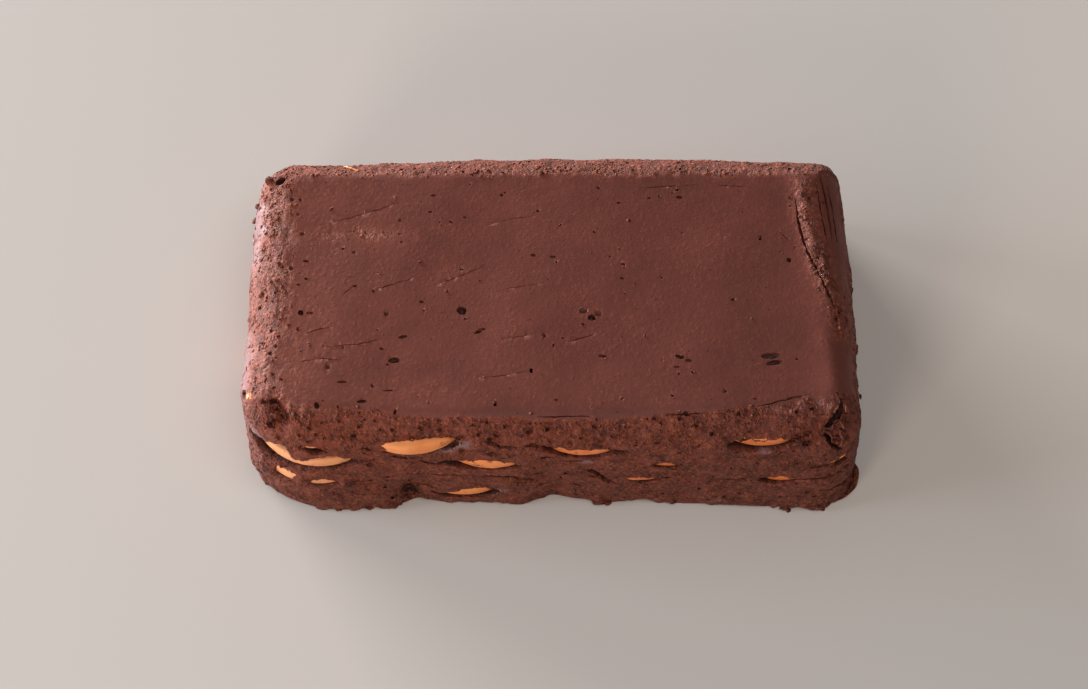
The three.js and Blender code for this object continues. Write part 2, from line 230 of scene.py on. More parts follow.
# Where the cream is torn open over a biscuit. Each has its wall, its depth, and a row of places
# from its left tip to its right tip: along the wall, the ledge below and the torn edge above.
OPENINGS = {
    "biscuit_front_corner_mid": ("front", 7.0, (
        (-122, 33.0, 33.8), (-116, 29.4, 34.4), (-108, 26.2, 35.4), (-98, 25.6, 38.8),
        (-93, 26.2, 40.6), (-90, 26.8, 38.8), (-88.6, 27.4, 35.4), (-84, 28.0, 34.6), (-78, 28.4, 37.2),
        (-73.5, 28.8, 39.0), (-69, 30.6, 37.8), (-65.5, 33.2, 35.8), (-60, 34.4, 34.8))),
    "biscuit_front_corner_low": ("front", 4.4, (
        (-112, 19.6, 20.2), (-106, 19.3, 20.7), (-100.5, 19.1, 21.3), (-97.5, 18.6, 22.8),
        (-93, 18.3, 23.8), (-90, 19.0, 22.6), (-88, 19.8, 20.5), (-84.5, 19.9, 20.4),
        (-82, 19.2, 21.8), (-78, 18.5, 23.4), (-75, 19.1, 22.4), (-71, 20.0, 20.9),
        (-60, 20.4, 20.9))),
    "biscuit_front_left_top": ("front", 5.4, (
        (-57.5, 41.4, 41.8), (-55, 39.9, 42.8), (-50.5, 39.3, 44.9), (-45, 39.2, 46.6),
        (-41, 39.3, 47.8), (-35.5, 39.8, 48.1), (-32.8, 41.4, 47.4), (-31, 44.2, 45.6))),
    "biscuit_front_left_mid": ("front", 4.2, (
        (-38, 31.0, 31.8), (-33.5, 30.0, 34.4), (-29.5, 28.2, 33.4), (-25, 27.4, 31.4), (-21, 27.2, 31.3),
        (-17, 27.2, 32.8), (-13.5, 27.6, 32.6), (-9.5, 29.8, 30.6))),
    "biscuit_front_left_bottom": ("front", 3.4, (
        (-42, 8.0, 8.5), (-36.5, 5.9, 9.4), (-30, 5.4, 11.8), (-24, 5.5, 12.8), (-20.6, 6.8, 11.4),
        (-17.5, 8.8, 9.6))),
    "biscuit_front_left_low": ("front", 1.6, (
        (-24, 22.6, 23.0), (-21.5, 22.0, 23.3), (-18.5, 21.8, 22.6), (-16, 21.6, 21.9))),
    "biscuit_front_mid_top": ("front", 6.5, (
        (-3.5, 42.2, 44.0), (1, 38.2, 43.8), (6, 35.9, 43.0), (11, 35.5, 42.2), (16, 35.7, 41.6),
        (21, 37.4, 41.2), (27.5, 39.5, 40.3))),
    "biscuit_front_right_mid": ("front", 2.6, (
        (34, 30.6, 31.2), (36.5, 29.4, 32.4), (40, 29.0, 32.8), (43, 29.4, 32.6), (45.4, 31.4, 32.0))),
    "biscuit_front_right_low": ("front", 2.8, (
        (26.5, 19.4, 20.2), (30, 17.2, 20.8), (34, 16.9, 21.2), (37, 18.4, 21.6), (41, 20.9, 21.6))),
    "biscuit_front_right_top": ("front", 6.5, (
        (59.2, 44.6, 46.4), (61.4, 42.2, 47.2), (66, 40.7, 47.7), (69, 40.5, 47.2), (71, 40.5, 46.4),
        (73.5, 40.6, 47.3), (77, 41.4, 47.8), (80.4, 44.2, 47.2), (82.6, 46.3, 46.8))),
    "biscuit_front_end_low": ("front", 3.8, (
        (70.6, 20.6, 21.4), (74, 19.2, 22.2), (78, 18.9, 22.8), (82, 19.6, 23.0), (85.6, 22.0, 22.6))),
    "biscuit_back_corner_top": ("back", 6.2, (
        (60, 47.6, 48.6), (63, 41.2, 49.8), (68, 39.8, 50.2), (73, 40.3, 49.6), (77.5, 45.2, 47.8))),
    "biscuit_back_right_low": ("back", 6.0, (
        (-73, 18.8, 19.2), (-66, 17.4, 21.6), (-59, 17.0, 23.6), (-52, 17.6, 21.8), (-45, 19.6, 20.0))),
    "biscuit_back_right_top": ("back", 6.0, (
        (-46, 39.0, 39.4), (-39, 37.4, 42.4), (-31, 37.0, 44.6), (-23, 37.4, 42.0), (-16, 38.8, 39.2))),
    "biscuit_back_mid_mid": ("back", 5.0, (
        (-15, 28.8, 29.2), (-10, 27.5, 31.0), (-4, 27.1, 32.2), (2, 27.6, 31.0), (7, 29.2, 29.6))),
    "biscuit_back_left_bottom": ("back", 6.0, (
        (16, 7.2, 7.6), (22, 6.3, 9.8), (28, 6.1, 11.4), (33, 6.5, 9.8), (38.5, 7.6, 8.0))),
    "biscuit_back_left_mid": ("back", 6.5, (
        (34, 27.6, 28.0), (41, 26.4, 31.0), (48, 26.0, 33.0), (55, 26.4, 31.4), (62, 28.0, 28.4))),
    "biscuit_left_front_bottom": ("left", 5.0, (
        (-12, 7.2, 7.6), (-5, 6.2, 10.2), (2, 6.0, 11.6), (7, 6.4, 9.8), (13, 7.4, 7.8))),
    "biscuit_right_back_mid": ("right", 5.0, (
        (-11, 28.8, 29.2), (-4, 27.5, 31.4), (3, 27.0, 33.0), (10, 27.5, 31.4), (17, 28.8, 29.2))),
    "biscuit_right_back_bottom": ("right", 4.6, (
        (-5, 7.4, 7.8), (1, 6.4, 9.8), (6, 6.1, 11.0), (11, 6.6, 9.4), (17, 7.8, 8.2))),
    "biscuit_bit_front_corner": ("front", 2.8, (
        (-84, 42.2, 43.0), (-82, 40.4, 44.2), (-79.5, 38.8, 44.5), (-77, 39.4, 43.4), (-75, 40.4, 41.2))),
    "biscuit_bit_right_corner": ("front", 3.4, (
        (96.5, 30.0, 30.8), (99.5, 29.2, 32.0), (103, 29.0, 32.6), (106, 30.2, 31.2))),
    "biscuit_bit_left_wall": ("left", 2.8, (
        (35.8, 43.6, 44.2), (37.4, 42.8, 47.6), (39, 42.8, 47.4), (40.6, 44.2, 45.0))),
}

# Crevices with nothing in them: wall, depth, and places along them with the height and the width
CREVICES = (
    ("front", 3.0, ((-64.5, 43.2, 0.3), (-61.8, 42.4, 2.2), (-59, 42.0, 0.4))),
    ("front", 2.6, ((-54, 36.4, 0.3), (-50, 35.6, 0.9), (-45, 35.6, 0.3))),
    ("front", 3.6, ((-22, 46.4, 0.4), (-19.8, 44.9, 2.0), (-16.2, 43.6, 2.0), (-12, 43.1, 1.2),
                    (-8, 43.4, 0.3))),
    ("front", 3.2, ((-21, 47.4, 0.4), (-20.4, 46.9, 1.9), (-19.6, 46.4, 0.5))),
    ("front", 3.4, ((-17.6, 21.9, 0.4), (-13.4, 21.2, 1.9), (-9.6, 19.9, 2.0), (-4, 17.6, 0.3))),
    ("front", 2.4, ((-41, 22.8, 0.3), (-36, 22.9, 0.9), (-31, 22.6, 1.1), (-26, 22.9, 0.3))),
    ("front", 2.4, ((-45, 33.6, 0.4), (-41.5, 31.6, 1.9), (-37, 31.2, 1.4), (-32, 31.0, 0.4))),
    ("front", 2.0, ((-22, 38.4, 0.3), (-19.5, 38.6, 1.8), (-17, 38.9, 0.4))),
    ("front", 2.4, ((-10, 31.4, 0.4), (-10.4, 28.8, 1.8), (-9.6, 26.2, 1.5), (-8.4, 24.0, 0.4))),
    ("front", 2.2, ((-7.6, 22.6, 0.3), (-4.4, 22.1, 1.2), (-1.6, 22.0, 0.3))),
    ("front", 3.4, ((-6, 32.8, 0.4), (-4, 34.6, 2.2), (-1.6, 35.3, 1.5), (1.4, 35.0, 0.4))),
    ("front", 5.0, ((-9, 44.4, 0.4), (-5, 43.4, 2.2), (0, 41.0, 3.8), (3.6, 38.8, 3.6), (8, 36.6, 0.8))),
    ("front", 2.0, ((4, 32.6, 0.3), (7, 32.3, 1.1), (11.5, 32.1, 0.3))),
    ("front", 2.0, ((3.4, 20.0, 0.3), (6, 21.4, 1.1), (8.6, 22.8, 0.3))),
    ("front", 4.2, ((11.5, 27.0, 0.4), (14.4, 25.2, 2.6), (17.4, 21.8, 4.1), (20, 18.8, 2.7),
                    (24.5, 16.6, 0.4))),
    ("front", 2.0, ((12.8, 22.4, 0.3), (14.6, 21.6, 1.2), (16.6, 21.0, 0.3))),
    ("front", 1.8, ((6.6, 14.8, 0.3), (8.8, 14.0, 1.5), (11, 13.4, 0.4))),
    ("front", 2.0, ((59.5, 20.0, 0.3), (63, 20.2, 1.2), (68.2, 22.2, 0.3))),
    ("front", 2.6, ((41, 28.2, 0.4), (42.4, 28.0, 1.8), (44, 28.4, 0.4))),
    ("front", 2.0, ((-46, 14.4, 0.3), (-42.6, 13.0, 1.6), (-38, 11.6, 0.4))),
    ("front", 2.0, ((-69, 13.0, 0.3), (-66, 12.0, 1.1), (-62.6, 11.2, 0.3))),
    ("front", 3.0, ((-50.5, 8.4, 0.4), (-48.6, 7.0, 1.8), (-46.6, 5.2, 0.4))),
    ("front", 5.0, ((86, 29.6, 0.3), (91, 30.6, 1.4), (97, 32.4, 2.4), (103, 33.6, 3.0), (108, 36.4, 4.2),
                    (111.5, 40.4, 2.8), (114, 43.4, 0.3))),
    ("front", 4.0, ((84, 22.0, 0.3), (91, 23.0, 1.6), (98, 23.6, 2.1), (105, 24.0, 2.8), (112, 23.4, 0.4))),
    ("front", 4.4, ((94, 13.2, 0.3), (100, 12.8, 1.7), (107, 11.2, 2.6), (114, 8.6, 2.0), (119, 7.4, 0.3))),
    ("front", 2.2, ((103, 27.6, 0.3), (107, 28.6, 1.1), (112, 31.0, 0.3))),
    ("front", 3.8, ((94.2, 49.5, 0.6), (95.4, 47.2, 3.4), (97.2, 44.2, 3.6), (99.6, 41.6, 1.8),
                    (101.5, 40.6, 0.3))),
    ("front", 2.6, ((54, 5.4, 0.4), (57, 5.0, 2.0), (60, 5.2, 0.4))),
    ("right", 2.8, ((-40, 15.4, 0.3), (-33, 16.6, 1.9), (-26, 18.4, 0.4))),
    ("right", 2.8, ((27, 38.8, 0.3), (34, 38.0, 2.0), (41, 37.4, 0.4))),
    ("right", 2.2, ((18, 22.0, 0.3), (24, 21.4, 1.4), (30, 21.8, 0.4))),
    ("right", 2.2, ((-22, 34.0, 0.3), (-16, 34.8, 1.2), (-11, 34.4, 0.4))),
    ("back", 3.0, ((2, 17.4, 0.3), (12, 18.2, 1.9), (22, 18.6, 0.4))),
    ("back", 4.4, ((-88, 32.8, 0.3), (-80, 32.0, 1.9), (-72, 31.2, 0.4))),
    ("back", 2.4, ((66, 20.4, 0.3), (73, 20.0, 1.5), (80, 20.8, 0.4))),
    ("back", 2.2, ((-24, 24.0, 0.3), (-16, 23.6, 1.4), (-10, 24.2, 0.4))),
    ("back", 2.2, ((36, 41.0, 0.3), (42, 40.4, 1.2), (50, 40.8, 0.3))),
    ("left", 3.0, ((-41, 23.0, 0.3), (-30, 24.0, 1.9), (-19, 25.0, 0.4))),
    ("left", 2.2, ((12, 20.6, 0.3), (19, 20.0, 1.4), (26, 20.8, 0.4))),
    ("left", 2.2, ((-20, 37.4, 0.3), (-12, 37.0, 1.2), (-5, 37.6, 0.3))),
)

# Fine cracks and drag lines in the top: depth, and places seen from above with the width
CRACKS = (
    (0.5, ((-83, 25.5, 0.1), (-70, 29.0, 0.35), (-61, 32.0, 0.5), (-53.9, 34.8, 0.1))),
    (0.6, ((-62.3, -0.6, 0.1), (-56, 2.0, 0.5), (-47.7, 4.9, 0.1))),
    (0.5, ((-41.7, 1.4, 0.1), (-33, 5.2, 0.4), (-23.6, 9.7, 0.1))),
    (0.5, ((-84.1, -16.8, 0.1), (-79, -15.0, 0.4), (-74.3, -14.1, 0.1))),
    (0.4, ((-23.9, 25.6, 0.1), (-14, 28.4, 0.35), (-5.1, 29.6, 0.1))),
    (0.6, ((-71.8, -2.2, 0.1), (-69.6, 0.2, 0.6), (-67.2, 2.1, 0.1))),
    (0.4, ((-17, 0.6, 0.1), (-10, 1.8, 0.3), (-3, 3.0, 0.1))),
    (0.5, ((-24.6, -33.2, 0.1), (-15, -32.2, 0.4), (-6.4, -30.4, 0.1))),
    (0.5, ((4.6, -20.2, 0.1), (9, -18.6, 0.5), (15, -16.6, 0.1))),
    (0.4, ((-17, -19.4, 0.1), (-11, -17.8, 0.35), (-6, -17.2, 0.1))),
    (0.5, ((-86, -27.4, 0.1), (-78, -26.2, 0.4), (-70, -26.8, 0.1))),
    (0.5, ((-78, -21.8, 0.1), (-66, -20.6, 0.4), (-58, -18.8, 0.1))),
    (0.9, ((66.6, -43.9, 0.1), (74, -42.4, 0.5), (81, -40.4, 0.8), (88.2, -38.7, 0.2))),
    (0.8, ((-5, -48.6, 0.1), (2, -48.4, 0.7), (10, -48.2, 0.5), (15, -48.4, 0.1))),
    (0.8, ((38, -47.4, 0.1), (45, -46.6, 0.9), (52, -46.0, 0.2))),
    (0.5, ((78.8, 24.1, 0.1), (80.6, 22.0, 0.4), (82.8, 19.8, 0.1))),
    (0.5, ((27.5, 40.6, 0.1), (40, 42.0, 0.4), (52.1, 42.7, 0.1))),
    (0.5, ((57.4, 42.3, 0.1), (64, 41.9, 0.5), (69.7, 41.1, 0.1))),
    # The dark line where the strip at the right end was torn
    (1.2, ((84.8, 37, 0.2), (86.4, 24.1, 1.2), (88.1, 16.2, 0.9), (90, 11.4, 1.5), (92.4, 4.4, 1.4),
           (94.8, -1.5, 1.8), (97.8, -9.2, 1.1), (99.4, -16.5, 0.3))),
    # The upright groove at the front right corner
    (3.6, ((96.6, -40.0, 0.5), (97.4, -43.0, 2.0), (96.9, -46.2, 3.4), (95.6, -49.4, 3.2),
           (95.4, -52.6, 3.0), (95.2, -56.0, 0.6))),
    # Drag marks along the right shoulder
    (1.1, ((94.6, 47.0, 0.2), (96.4, 40.0, 1.0), (98.2, 31.0, 0.9), (99.4, 21.0, 0.2))),
    (1.0, ((99.0, 44.5, 0.2), (101.2, 38.0, 1.1), (103.0, 29.0, 0.9), (104.4, 20.0, 0.2))),
    (0.8, ((92.6, 44.0, 0.2), (93.8, 34.0, 0.7), (95.4, 24.0, 0.5), (97.6, 12.0, 0.1))),
)

# Air pits in the top: place seen from above, length, width, depth and turn in degrees
TOP_PITS = (
    (-30.7, -7.7, 3.6, 3.2, 2.2, -20), (10.8, -7.6, 3.4, 2.0, 0.9, 10), (13.8, -10.2, 3.2, 2.6, 1.9, 0),
    (16.2, -8.6, 2.6, 2.0, 0.7, 30), (74.0, -24.6, 6.4, 2.4, 1.8, 6), (75.6, -27.2, 6.0, 1.7, 1.4, 12),
    (43.4, -25.2, 3.2, 1.6, 1.4, -14), (46.4, -26.6, 2.4, 1.3, 1.1, 0), (17.6, -25.0, 3.4, 1.2, 1.1, -6),
    (-53.1, -26.6, 4.4, 2.2, 1.5, 4), (-24.9, -15.9, 2.8, 1.2, 1.5, 20), (-23.2, -14.8, 1.6, 1.0, 1.2, 0),
    (-50.5, -17.8, 3.2, 1.2, 1.3, 12), (-57.4, -22.3, 1.8, 1.0, 1.1, 0), (-85.7, -8.6, 2.0, 2.2, 2.0, 0),
    (-82.6, -8.8, 2.6, 0.8, 0.8, 0), (82.1, 12.2, 1.9, 2.1, 1.9, 0), (-4.8, 31.8, 1.6, 1.4, 1.2, 0),
    (-41.7, 37.7, 2.0, 1.0, 0.9, 0), (-17.6, 38.1, 1.6, 1.2, 1.0, 0), (-6.4, 14.0, 1.8, 1.2, 1.0, 0),
    (14.8, 23.2, 1.4, 1.2, 1.0, 0), (24.3, 5.0, 1.5, 1.2, 1.0, 0), (0.4, 13.3, 1.8, 1.0, 1.0, 0),
    (-63.4, -42.2, 3.4, 1.5, 1.4, 6), (-78.4, -43.4, 1.7, 2.6, 2.2, 8), (-52.1, -46.0, 1.1, 2.2, 1.8, -10),
    (-54.7, -38.1, 3.6, 0.9, 0.9, 6), (-70.4, -34.9, 3.8, 1.1, 0.9, 4), (42.4, -29.1, 2.2, 1.0, 0.9, 0),
    (4.0, -18.2, 1.6, 0.9, 0.8, 0), (-44.4, -4.4, 1.8, 1.2, 0.9, 0), (-30.4, 29.0, 1.4, 1.0, 0.8, 0),
    (68.2, -40.9, 1.6, 0.8, 0.8, 0), (45.1, -46.4, 2.0, 1.8, 1.8, 0), (-67.6, 1.6, 1.6, 1.2, 1.0, 0),
    (-84.8, 11.6, 2.6, 1.0, 1.2, 0), (-84.6, 4.6, 1.2, 1.0, 1.2, 0), (-76.4, -41.8, 1.0, 1.0, 1.0, 0),
    (-71.2, -43.9, 1.0, 1.4, 1.2, 0), (44.6, 37.6, 2.2, 1.4, 1.2, 0), (23.4, 35.0, 1.4, 1.0, 0.9, 0),
    (-96.2, 44.2, 4.2, 3.4, 2.6, 30), (-93.8, -42.6, 2.4, 2.0, 1.8, 0),
)

STEP = 0.7
# Pits longer than this get a finer ball
WIDE_PIT = 2.4
# How far a cutter stands out of the skin, and the narrowest that it gets
PROUD = 2.5
NARROW = 0.05
# Section of a cutter from its lower to its upper edge: share of the width, share of the depth
TORN = ((0.02, 0.5), (0.0, 1.0), (0.4, 1.0), (0.66, 0.95), (0.86, 0.45))
SPLIT = ((0.22, 0.55), (0.5, 1.0), (0.8, 0.5))


def curve(rows, step):
    """Rows of numbers resampled along a smooth curve through them, about a step apart."""
    rows = np.asarray(rows, float)
    slopes = np.gradient(rows, axis=0)
    spans = np.linalg.norm(np.diff(rows[:, :2], axis=0), axis=1)
    out = []
    for first, span in enumerate(spans):
        count = max(2, int(round(span / step)))
        for t in np.arange(count) / count:
            start = (2 * t**3 - 3 * t**2 + 1) * rows[first] + (t**3 - 2 * t**2 + t) * slopes[first]
            end = (3 * t**2 - 2 * t**3) * rows[first + 1] + (t**3 - t**2) * slopes[first + 1]
            out.append(start + end)
    out.append(rows[-1])
    return np.array(out)


def cutter(lower, upper, inward, depth, section):
    """A closed wedge between two lines on the skin, from outside it down to a depth."""
    out_low = lower + way_out_at(lower) * PROUD
    out_high = upper + way_out_at(upper) * PROUD
    share = np.linspace(0, 1, len(lower))
    taper = np.sqrt(np.clip(1 - (2 * share - 1) ** 2, 0.004, 1))[:, None]
    rings = [out_low, lower]
    for across, deep in section:
        floor = lower + (upper - lower) * across
        rough = 1 + 0.16 * grain(floor, 1.6, 2, 17.0)[:, None]
        rings.append(floor + inward * deep * depth * taper * rough)
    rings += [upper, out_high]
    return loft(np.stack(rings, axis=1))


def loft(rings):
    """A closed bmesh through rings of points, given as an array of stations by ring places."""
    mesh = bmesh.new()
    rows = []
    for ring in rings:
        rows.append([mesh.verts.new(point) for point in ring])
    for row, after in zip(rows, rows[1:]):
        for place in range(len(row)):
            beside = (place + 1) % len(row)
            mesh.faces.new((row[place], row[beside], after[beside], after[place]))
    mesh.faces.new(rows[0][::-1])
    mesh.faces.new(rows[-1])
    bmesh.ops.recalc_face_normals(mesh, faces=mesh.faces)
    return mesh


def level_inward(points):
    """Level unit vectors that point into the block."""
    inward = -way_out_at(points)
    inward[:, 2] = 0
    return inward / np.maximum(np.linalg.norm(inward, axis=1, keepdims=True), TINY)


def ragged(count, points, size, high, shift):
    """Uneven steps for a torn edge, none at its ends."""
    ends = np.minimum(1, np.minimum(np.arange(count), np.arange(count)[::-1]) / 3)
    return high * ends * grain(points, size, 3, shift)


def opening_cutter(wall, depth, places):
    rows = curve(places, STEP)
    along, low, high = rows.T
    spots = wall_points(wall, along, low)
    low = low + ragged(len(rows), spots, 2.2, 0.25, 0.0)
    high = high + ragged(len(rows), spots, 1.9, 0.9, 5.0)
    high = np.maximum(high, low + NARROW)
    lower = wall_points(wall, along, low)
    upper = wall_points(wall, along, high)
    return cutter(lower, upper, level_inward(lower), depth, TORN)


def crevice_cutter(wall, depth, places):
    rows = curve(places, STEP)
    along, level, width = rows.T
    spots = wall_points(wall, along, level)
    level = level + ragged(len(rows), spots, 1.7, 0.35, 2.0)
    width = np.maximum(width * (1 + 0.4 * grain(spots, 1.3, 2, 9.0)), NARROW)
    lower = wall_points(wall, along, level - width / 2)
    upper = wall_points(wall, along, level + width / 2)
    return cutter(lower, upper, level_inward(lower), depth, SPLIT)


def crack_cutter(depth, places):
    rows = curve(places, STEP)
    run = np.gradient(rows[:, :2], axis=0)
    run /= np.maximum(np.linalg.norm(run, axis=1, keepdims=True), TINY)
    aside = np.column_stack([-run[:, 1], run[:, 0]])
    middle = rows[:, :2] + aside * ragged(len(rows), top_points(rows[:, :2]), 1.8, 0.3, 4.0)[:, None]
    width = np.maximum(rows[:, 2:] * (1 + 0.4 * grain(top_points(middle), 1.3, 2, 9.0)[:, None]), NARROW)
    lower = top_points(middle - aside * width / 2)
    upper = top_points(middle + aside * width / 2)
    return cutter(lower, upper, -way_out_at(lower), depth, SPLIT)


def pit_cutter(x, y, length, width, depth, turn):
    """A lumpy hollow, from a ball squeezed to its size."""
    mesh = bmesh.new()
    bmesh.ops.create_icosphere(mesh, subdivisions=3 if length > WIDE_PIT else 2, radius=1)
    spot = Vector(top_points([(x, y)])[0])
    angle = math.radians(turn)
    for vertex in mesh.verts:
        ball = vertex.co * (1 + 0.2 * noise.fractal(vertex.co * 1.4 + spot, 1.0, 2.0, 2))
        reach = Vector((ball.x * length / 2, ball.y * width / 2, ball.z * depth))
        reach.rotate(Matrix.Rotation(angle, 3, "Z"))
        vertex.co = spot + reach
    return mesh


# ---- Mesh helpers -----------------------------------------------------------------------------


def as_object(name, mesh, scale=1.0):
    """An object from a bmesh, which is used up."""
    for vertex in mesh.verts:
        vertex.co *= scale
    data = bpy.data.meshes.new(name)
    mesh.to_mesh(data)
    mesh.free()
    piece = bpy.data.objects.new(name, data)
    bpy.context.scene.collection.objects.link(piece)
    return piece


def settle(piece):
    """Turns a piece and its modifiers into a plain mesh."""
    graph = bpy.context.evaluated_depsgraph_get()
    data = bpy.data.meshes.new_from_object(piece.evaluated_get(graph))
    piece.modifiers.clear()
    piece.data = data


def combine(piece, others, operation):
    """Joins or cuts a piece by closed pieces, which are then removed."""
    for other in others:
        change = piece.modifiers.new("change", "BOOLEAN")
        change.operation = operation
        change.solver = "MANIFOLD"
        change.object = other
    settle(piece)
    for other in others:
        bpy.data.objects.remove(other)


def coordinates(data):
    flat = np.empty(len(data.vertices) * 3, np.float32)
    data.vertices.foreach_get("co", flat)
    return flat.reshape(-1, 3).astype(float)


def directions(data):
    flat = np.empty(len(data.vertices) * 3, np.float32)
    data.vertex_normals.foreach_get("vector", flat)
    return flat.reshape(-1, 3).astype(float)


def set_share(data, name, values):
    """Stores a value for each vertex, under a name that the materials and trees read."""
    attribute = data.attributes.get(name) or data.attributes.new(name, "FLOAT", "POINT")
    attribute.data.foreach_set("value", np.ascontiguousarray(values, np.float32))


# ---- The skin -----------------------------------------------------------------------------------

# The line where the smooth top ends and the rough front band begins, bowed to the front
BAND = {"middle": -48.2, "bow": 8.0, "at": -5.0, "half": 96.0}
# How much lower the band lies than the top, and over what width it drops
BAND_DROP = (0.3, 1.2)
# Where the rough left end and back edge begin
ROUGH_LEFT = -90.0
ROUGH_BACK = 46.0
# Edges of the rough parts: how far each wanders, and over what width it fades
EDGES = {"front": (1.2, 1.6), "left": (4.0, 7.0), "back": (1.5, 3.0), "worn": (9.0, 50.0)}
# The left part of the top is worn a little: where that is at its half, and how rough it gets
WORN_LEFT = (-63.0, 0.24)
LEFT_ROUGH = 0.6
# How rough the walls are, and the top where nothing touched it, with how far that varies
WALL_ROUGH = 0.9
TOP_ROUGH = (0.11, 0.1)
# The lit ridge at the right end of the top, from the back to the front
RIDGE = ((88.6, 42), (89.8, 28), (91.6, 16), (94.4, 6), (97.2, -4), (99.4, -14))
# Its half width and height, and the half width of the rough cream along it
RIDGE_SIZE = (3.0, 0.55)
RIDGE_ROUGH = 5.0
# Patches of the top that stuck to the mould: place, half length, half width and how rough
SCUFFS = (
    (-66, 22, 24, 4.0, 0.6), (-34, 24, 12, 3.0, 0.45), (8, 2, 14, 9, 0.2), (-4, 8, 8, 4, 0.25),
    (-88, -30, 7, 12, 0.5), (60, 30, 12, 8, 0.15), (-50, -38, 26, 6, 0.35), (20, -38, 30, 8, 0.2),
)
# Glossy spots where the cream was pressed smooth, which also get a painted mauve sheen in their colour:
# middle and radius
SLEEK = (
    (-103.0, 33.0, 46.0, 5.0), (-103.0, 26.0, 46.5, 6.0), (-103.5, 17.0, 46.0, 6.0),
    (-104.5, -16.0, 44.0, 5.0), (-104.5, -23.0, 44.0, 6.0), (-104.0, -32.0, 44.0, 6.0),
    (-102.0, -46.0, 34.0, 6.0), (-31.5, -54.6, 43.2, 4.2), (-35.5, -55.2, 40.2, 2.6),
    (-18.8, -57.2, 10.2, 3.0), (-21.5, -57.4, 8.0, 2.0), (71.5, -55.2, 41.6, 2.6),
    (12, -56, 31.4, 2.0), (58, -57, 5, 2.2),
)
# The spots are drawn out along X and squat along Z
SLEEK_FORM = (0.7, 1.0, 1.3)

# Noise in the skin: height, size of a lump, finer layers, and shift of the pattern
SWEEP = (0.16, 26.0, 2, 0.0)
WALL_LUMPS = (0.45, 8.5, 3, 3.0)
TORN_LUMPS = (0.36, 2.6, 2, 11.0)
TORN_GRAINS = (0.24, 1.25, 1, 14.0)
STROKES = (0.05, 3.6, 2, 5.0)
RIDGE_LUMPS = (0.5, 3.0, 2, 45.0)
LEFT_LUMPS = (0.45, 4.5, 2, 41.0)
FOOT_LUMPS = (1.5, 4.0, 2, 51.0)
FOOT_GRAINS = (0.45, 2.1, 1, 53.0)
# Strokes of the mould's liner: how steeply they rise to the right, and how much longer than wide
STROKE_TURN = math.radians(17)
STROKE_STRETCH = 5.0
# The lumps of the left end start here and are at their fullest this much further on
LUMPY_LEFT = (-92.0, 8.0)
# The foot is torn where the cake came off its liner, up to this height
FOOT_TOP = 4.5
# How strongly it is torn outside the broken stretches
FOOT_TORN = 0.35

# Upright furrows of the walls: wall, place along it, half width, depth and the height they end at
GROOVES = (
    ("front", -49.5, 3.2, 2.2, 22), ("front", -88, 5.0, 0.7, 26), ("front", 21, 4.0, 0.8, 16),
    ("front", 47, 5.0, 0.7, 20), ("front", 3, 4.0, 1.0, 30), ("right", -10, 6.0, 0.8, 30),
    ("left", 16, 5.0, 0.8, 30), ("back", 40, 6.0, 0.8, 30), ("back", -8, 5.0, 0.8, 24),
)
# Shallow dents: middle, radius and depth
DENTS = (
    (-93.5, -44.0, 48.5, 4.5, 1.5), (-90.5, -49.0, 46.0, 5.0, 1.2), (92.0, -50.5, 48.0, 5.4, 1.8),
    (84.0, -53.0, 46.0, 3.6, 0.8), (-49.0, -58.0, 9.0, 5.0, 0.8), (-31.0, -54.9, 43.4, 4.2, 1.1),
    (-36.0, -55.2, 40.6, 3.2, 0.7), (-18.8, -57.4, 10.0, 3.4, 0.8), (12.0, -56.0, 31.4, 3.0, 0.7),
)
# Mounds where the cream laps over the lowest biscuit of the front left corner: middle, radius and
# height
MOUNDS = (
    (-85.8, -57.3, 20.0, 3.0, 2.0), (-97.8, -51.2, 20.0, 4.4, 2.2), (-70.5, -59.2, 20.0, 3.0, 1.4),
)
# Stretches of the front's foot that broke into crumbs: middle and half width along X
BROKEN_FOOT = ((-66.0, 20.0), (88.0, 22.0), (18.0, 7.0))


def lumps_of(points, noise_kind):
    """Lumps of one of the kinds of noise that are named above."""
    high, size, layers, shift = noise_kind
    return high * grain(points, size, layers, shift)


def path_distance(x, y, path):
    """Distance from points, seen from above, to a line of straight stretches."""
    best = np.full(len(x), np.inf)
    for (x0, y0), (x1, y1) in zip(path, path[1:]):
        length = math.hypot(x1 - x0, y1 - y0)
        along = ((x - x0) * (x1 - x0) + (y - y0) * (y1 - y0)) / length**2
        along = np.clip(along, 0, 1)
        best = np.minimum(best, np.hypot(x - x0 - along * (x1 - x0), y - y0 - along * (y1 - y0)))
    return best


def band_line(x):
    """How far back the rough band at the front reaches."""
    return BAND["middle"] + BAND["bow"] * ((x - BAND["at"]) / BAND["half"]) ** 2


def past_edge(edge, depth, wander):
    """0 to 1 over the edge of a rough part, from how deep in that part each point lies."""
    strays, fade = EDGES[edge]
    return smooth((depth + strays * wander) / fade + 0.5)


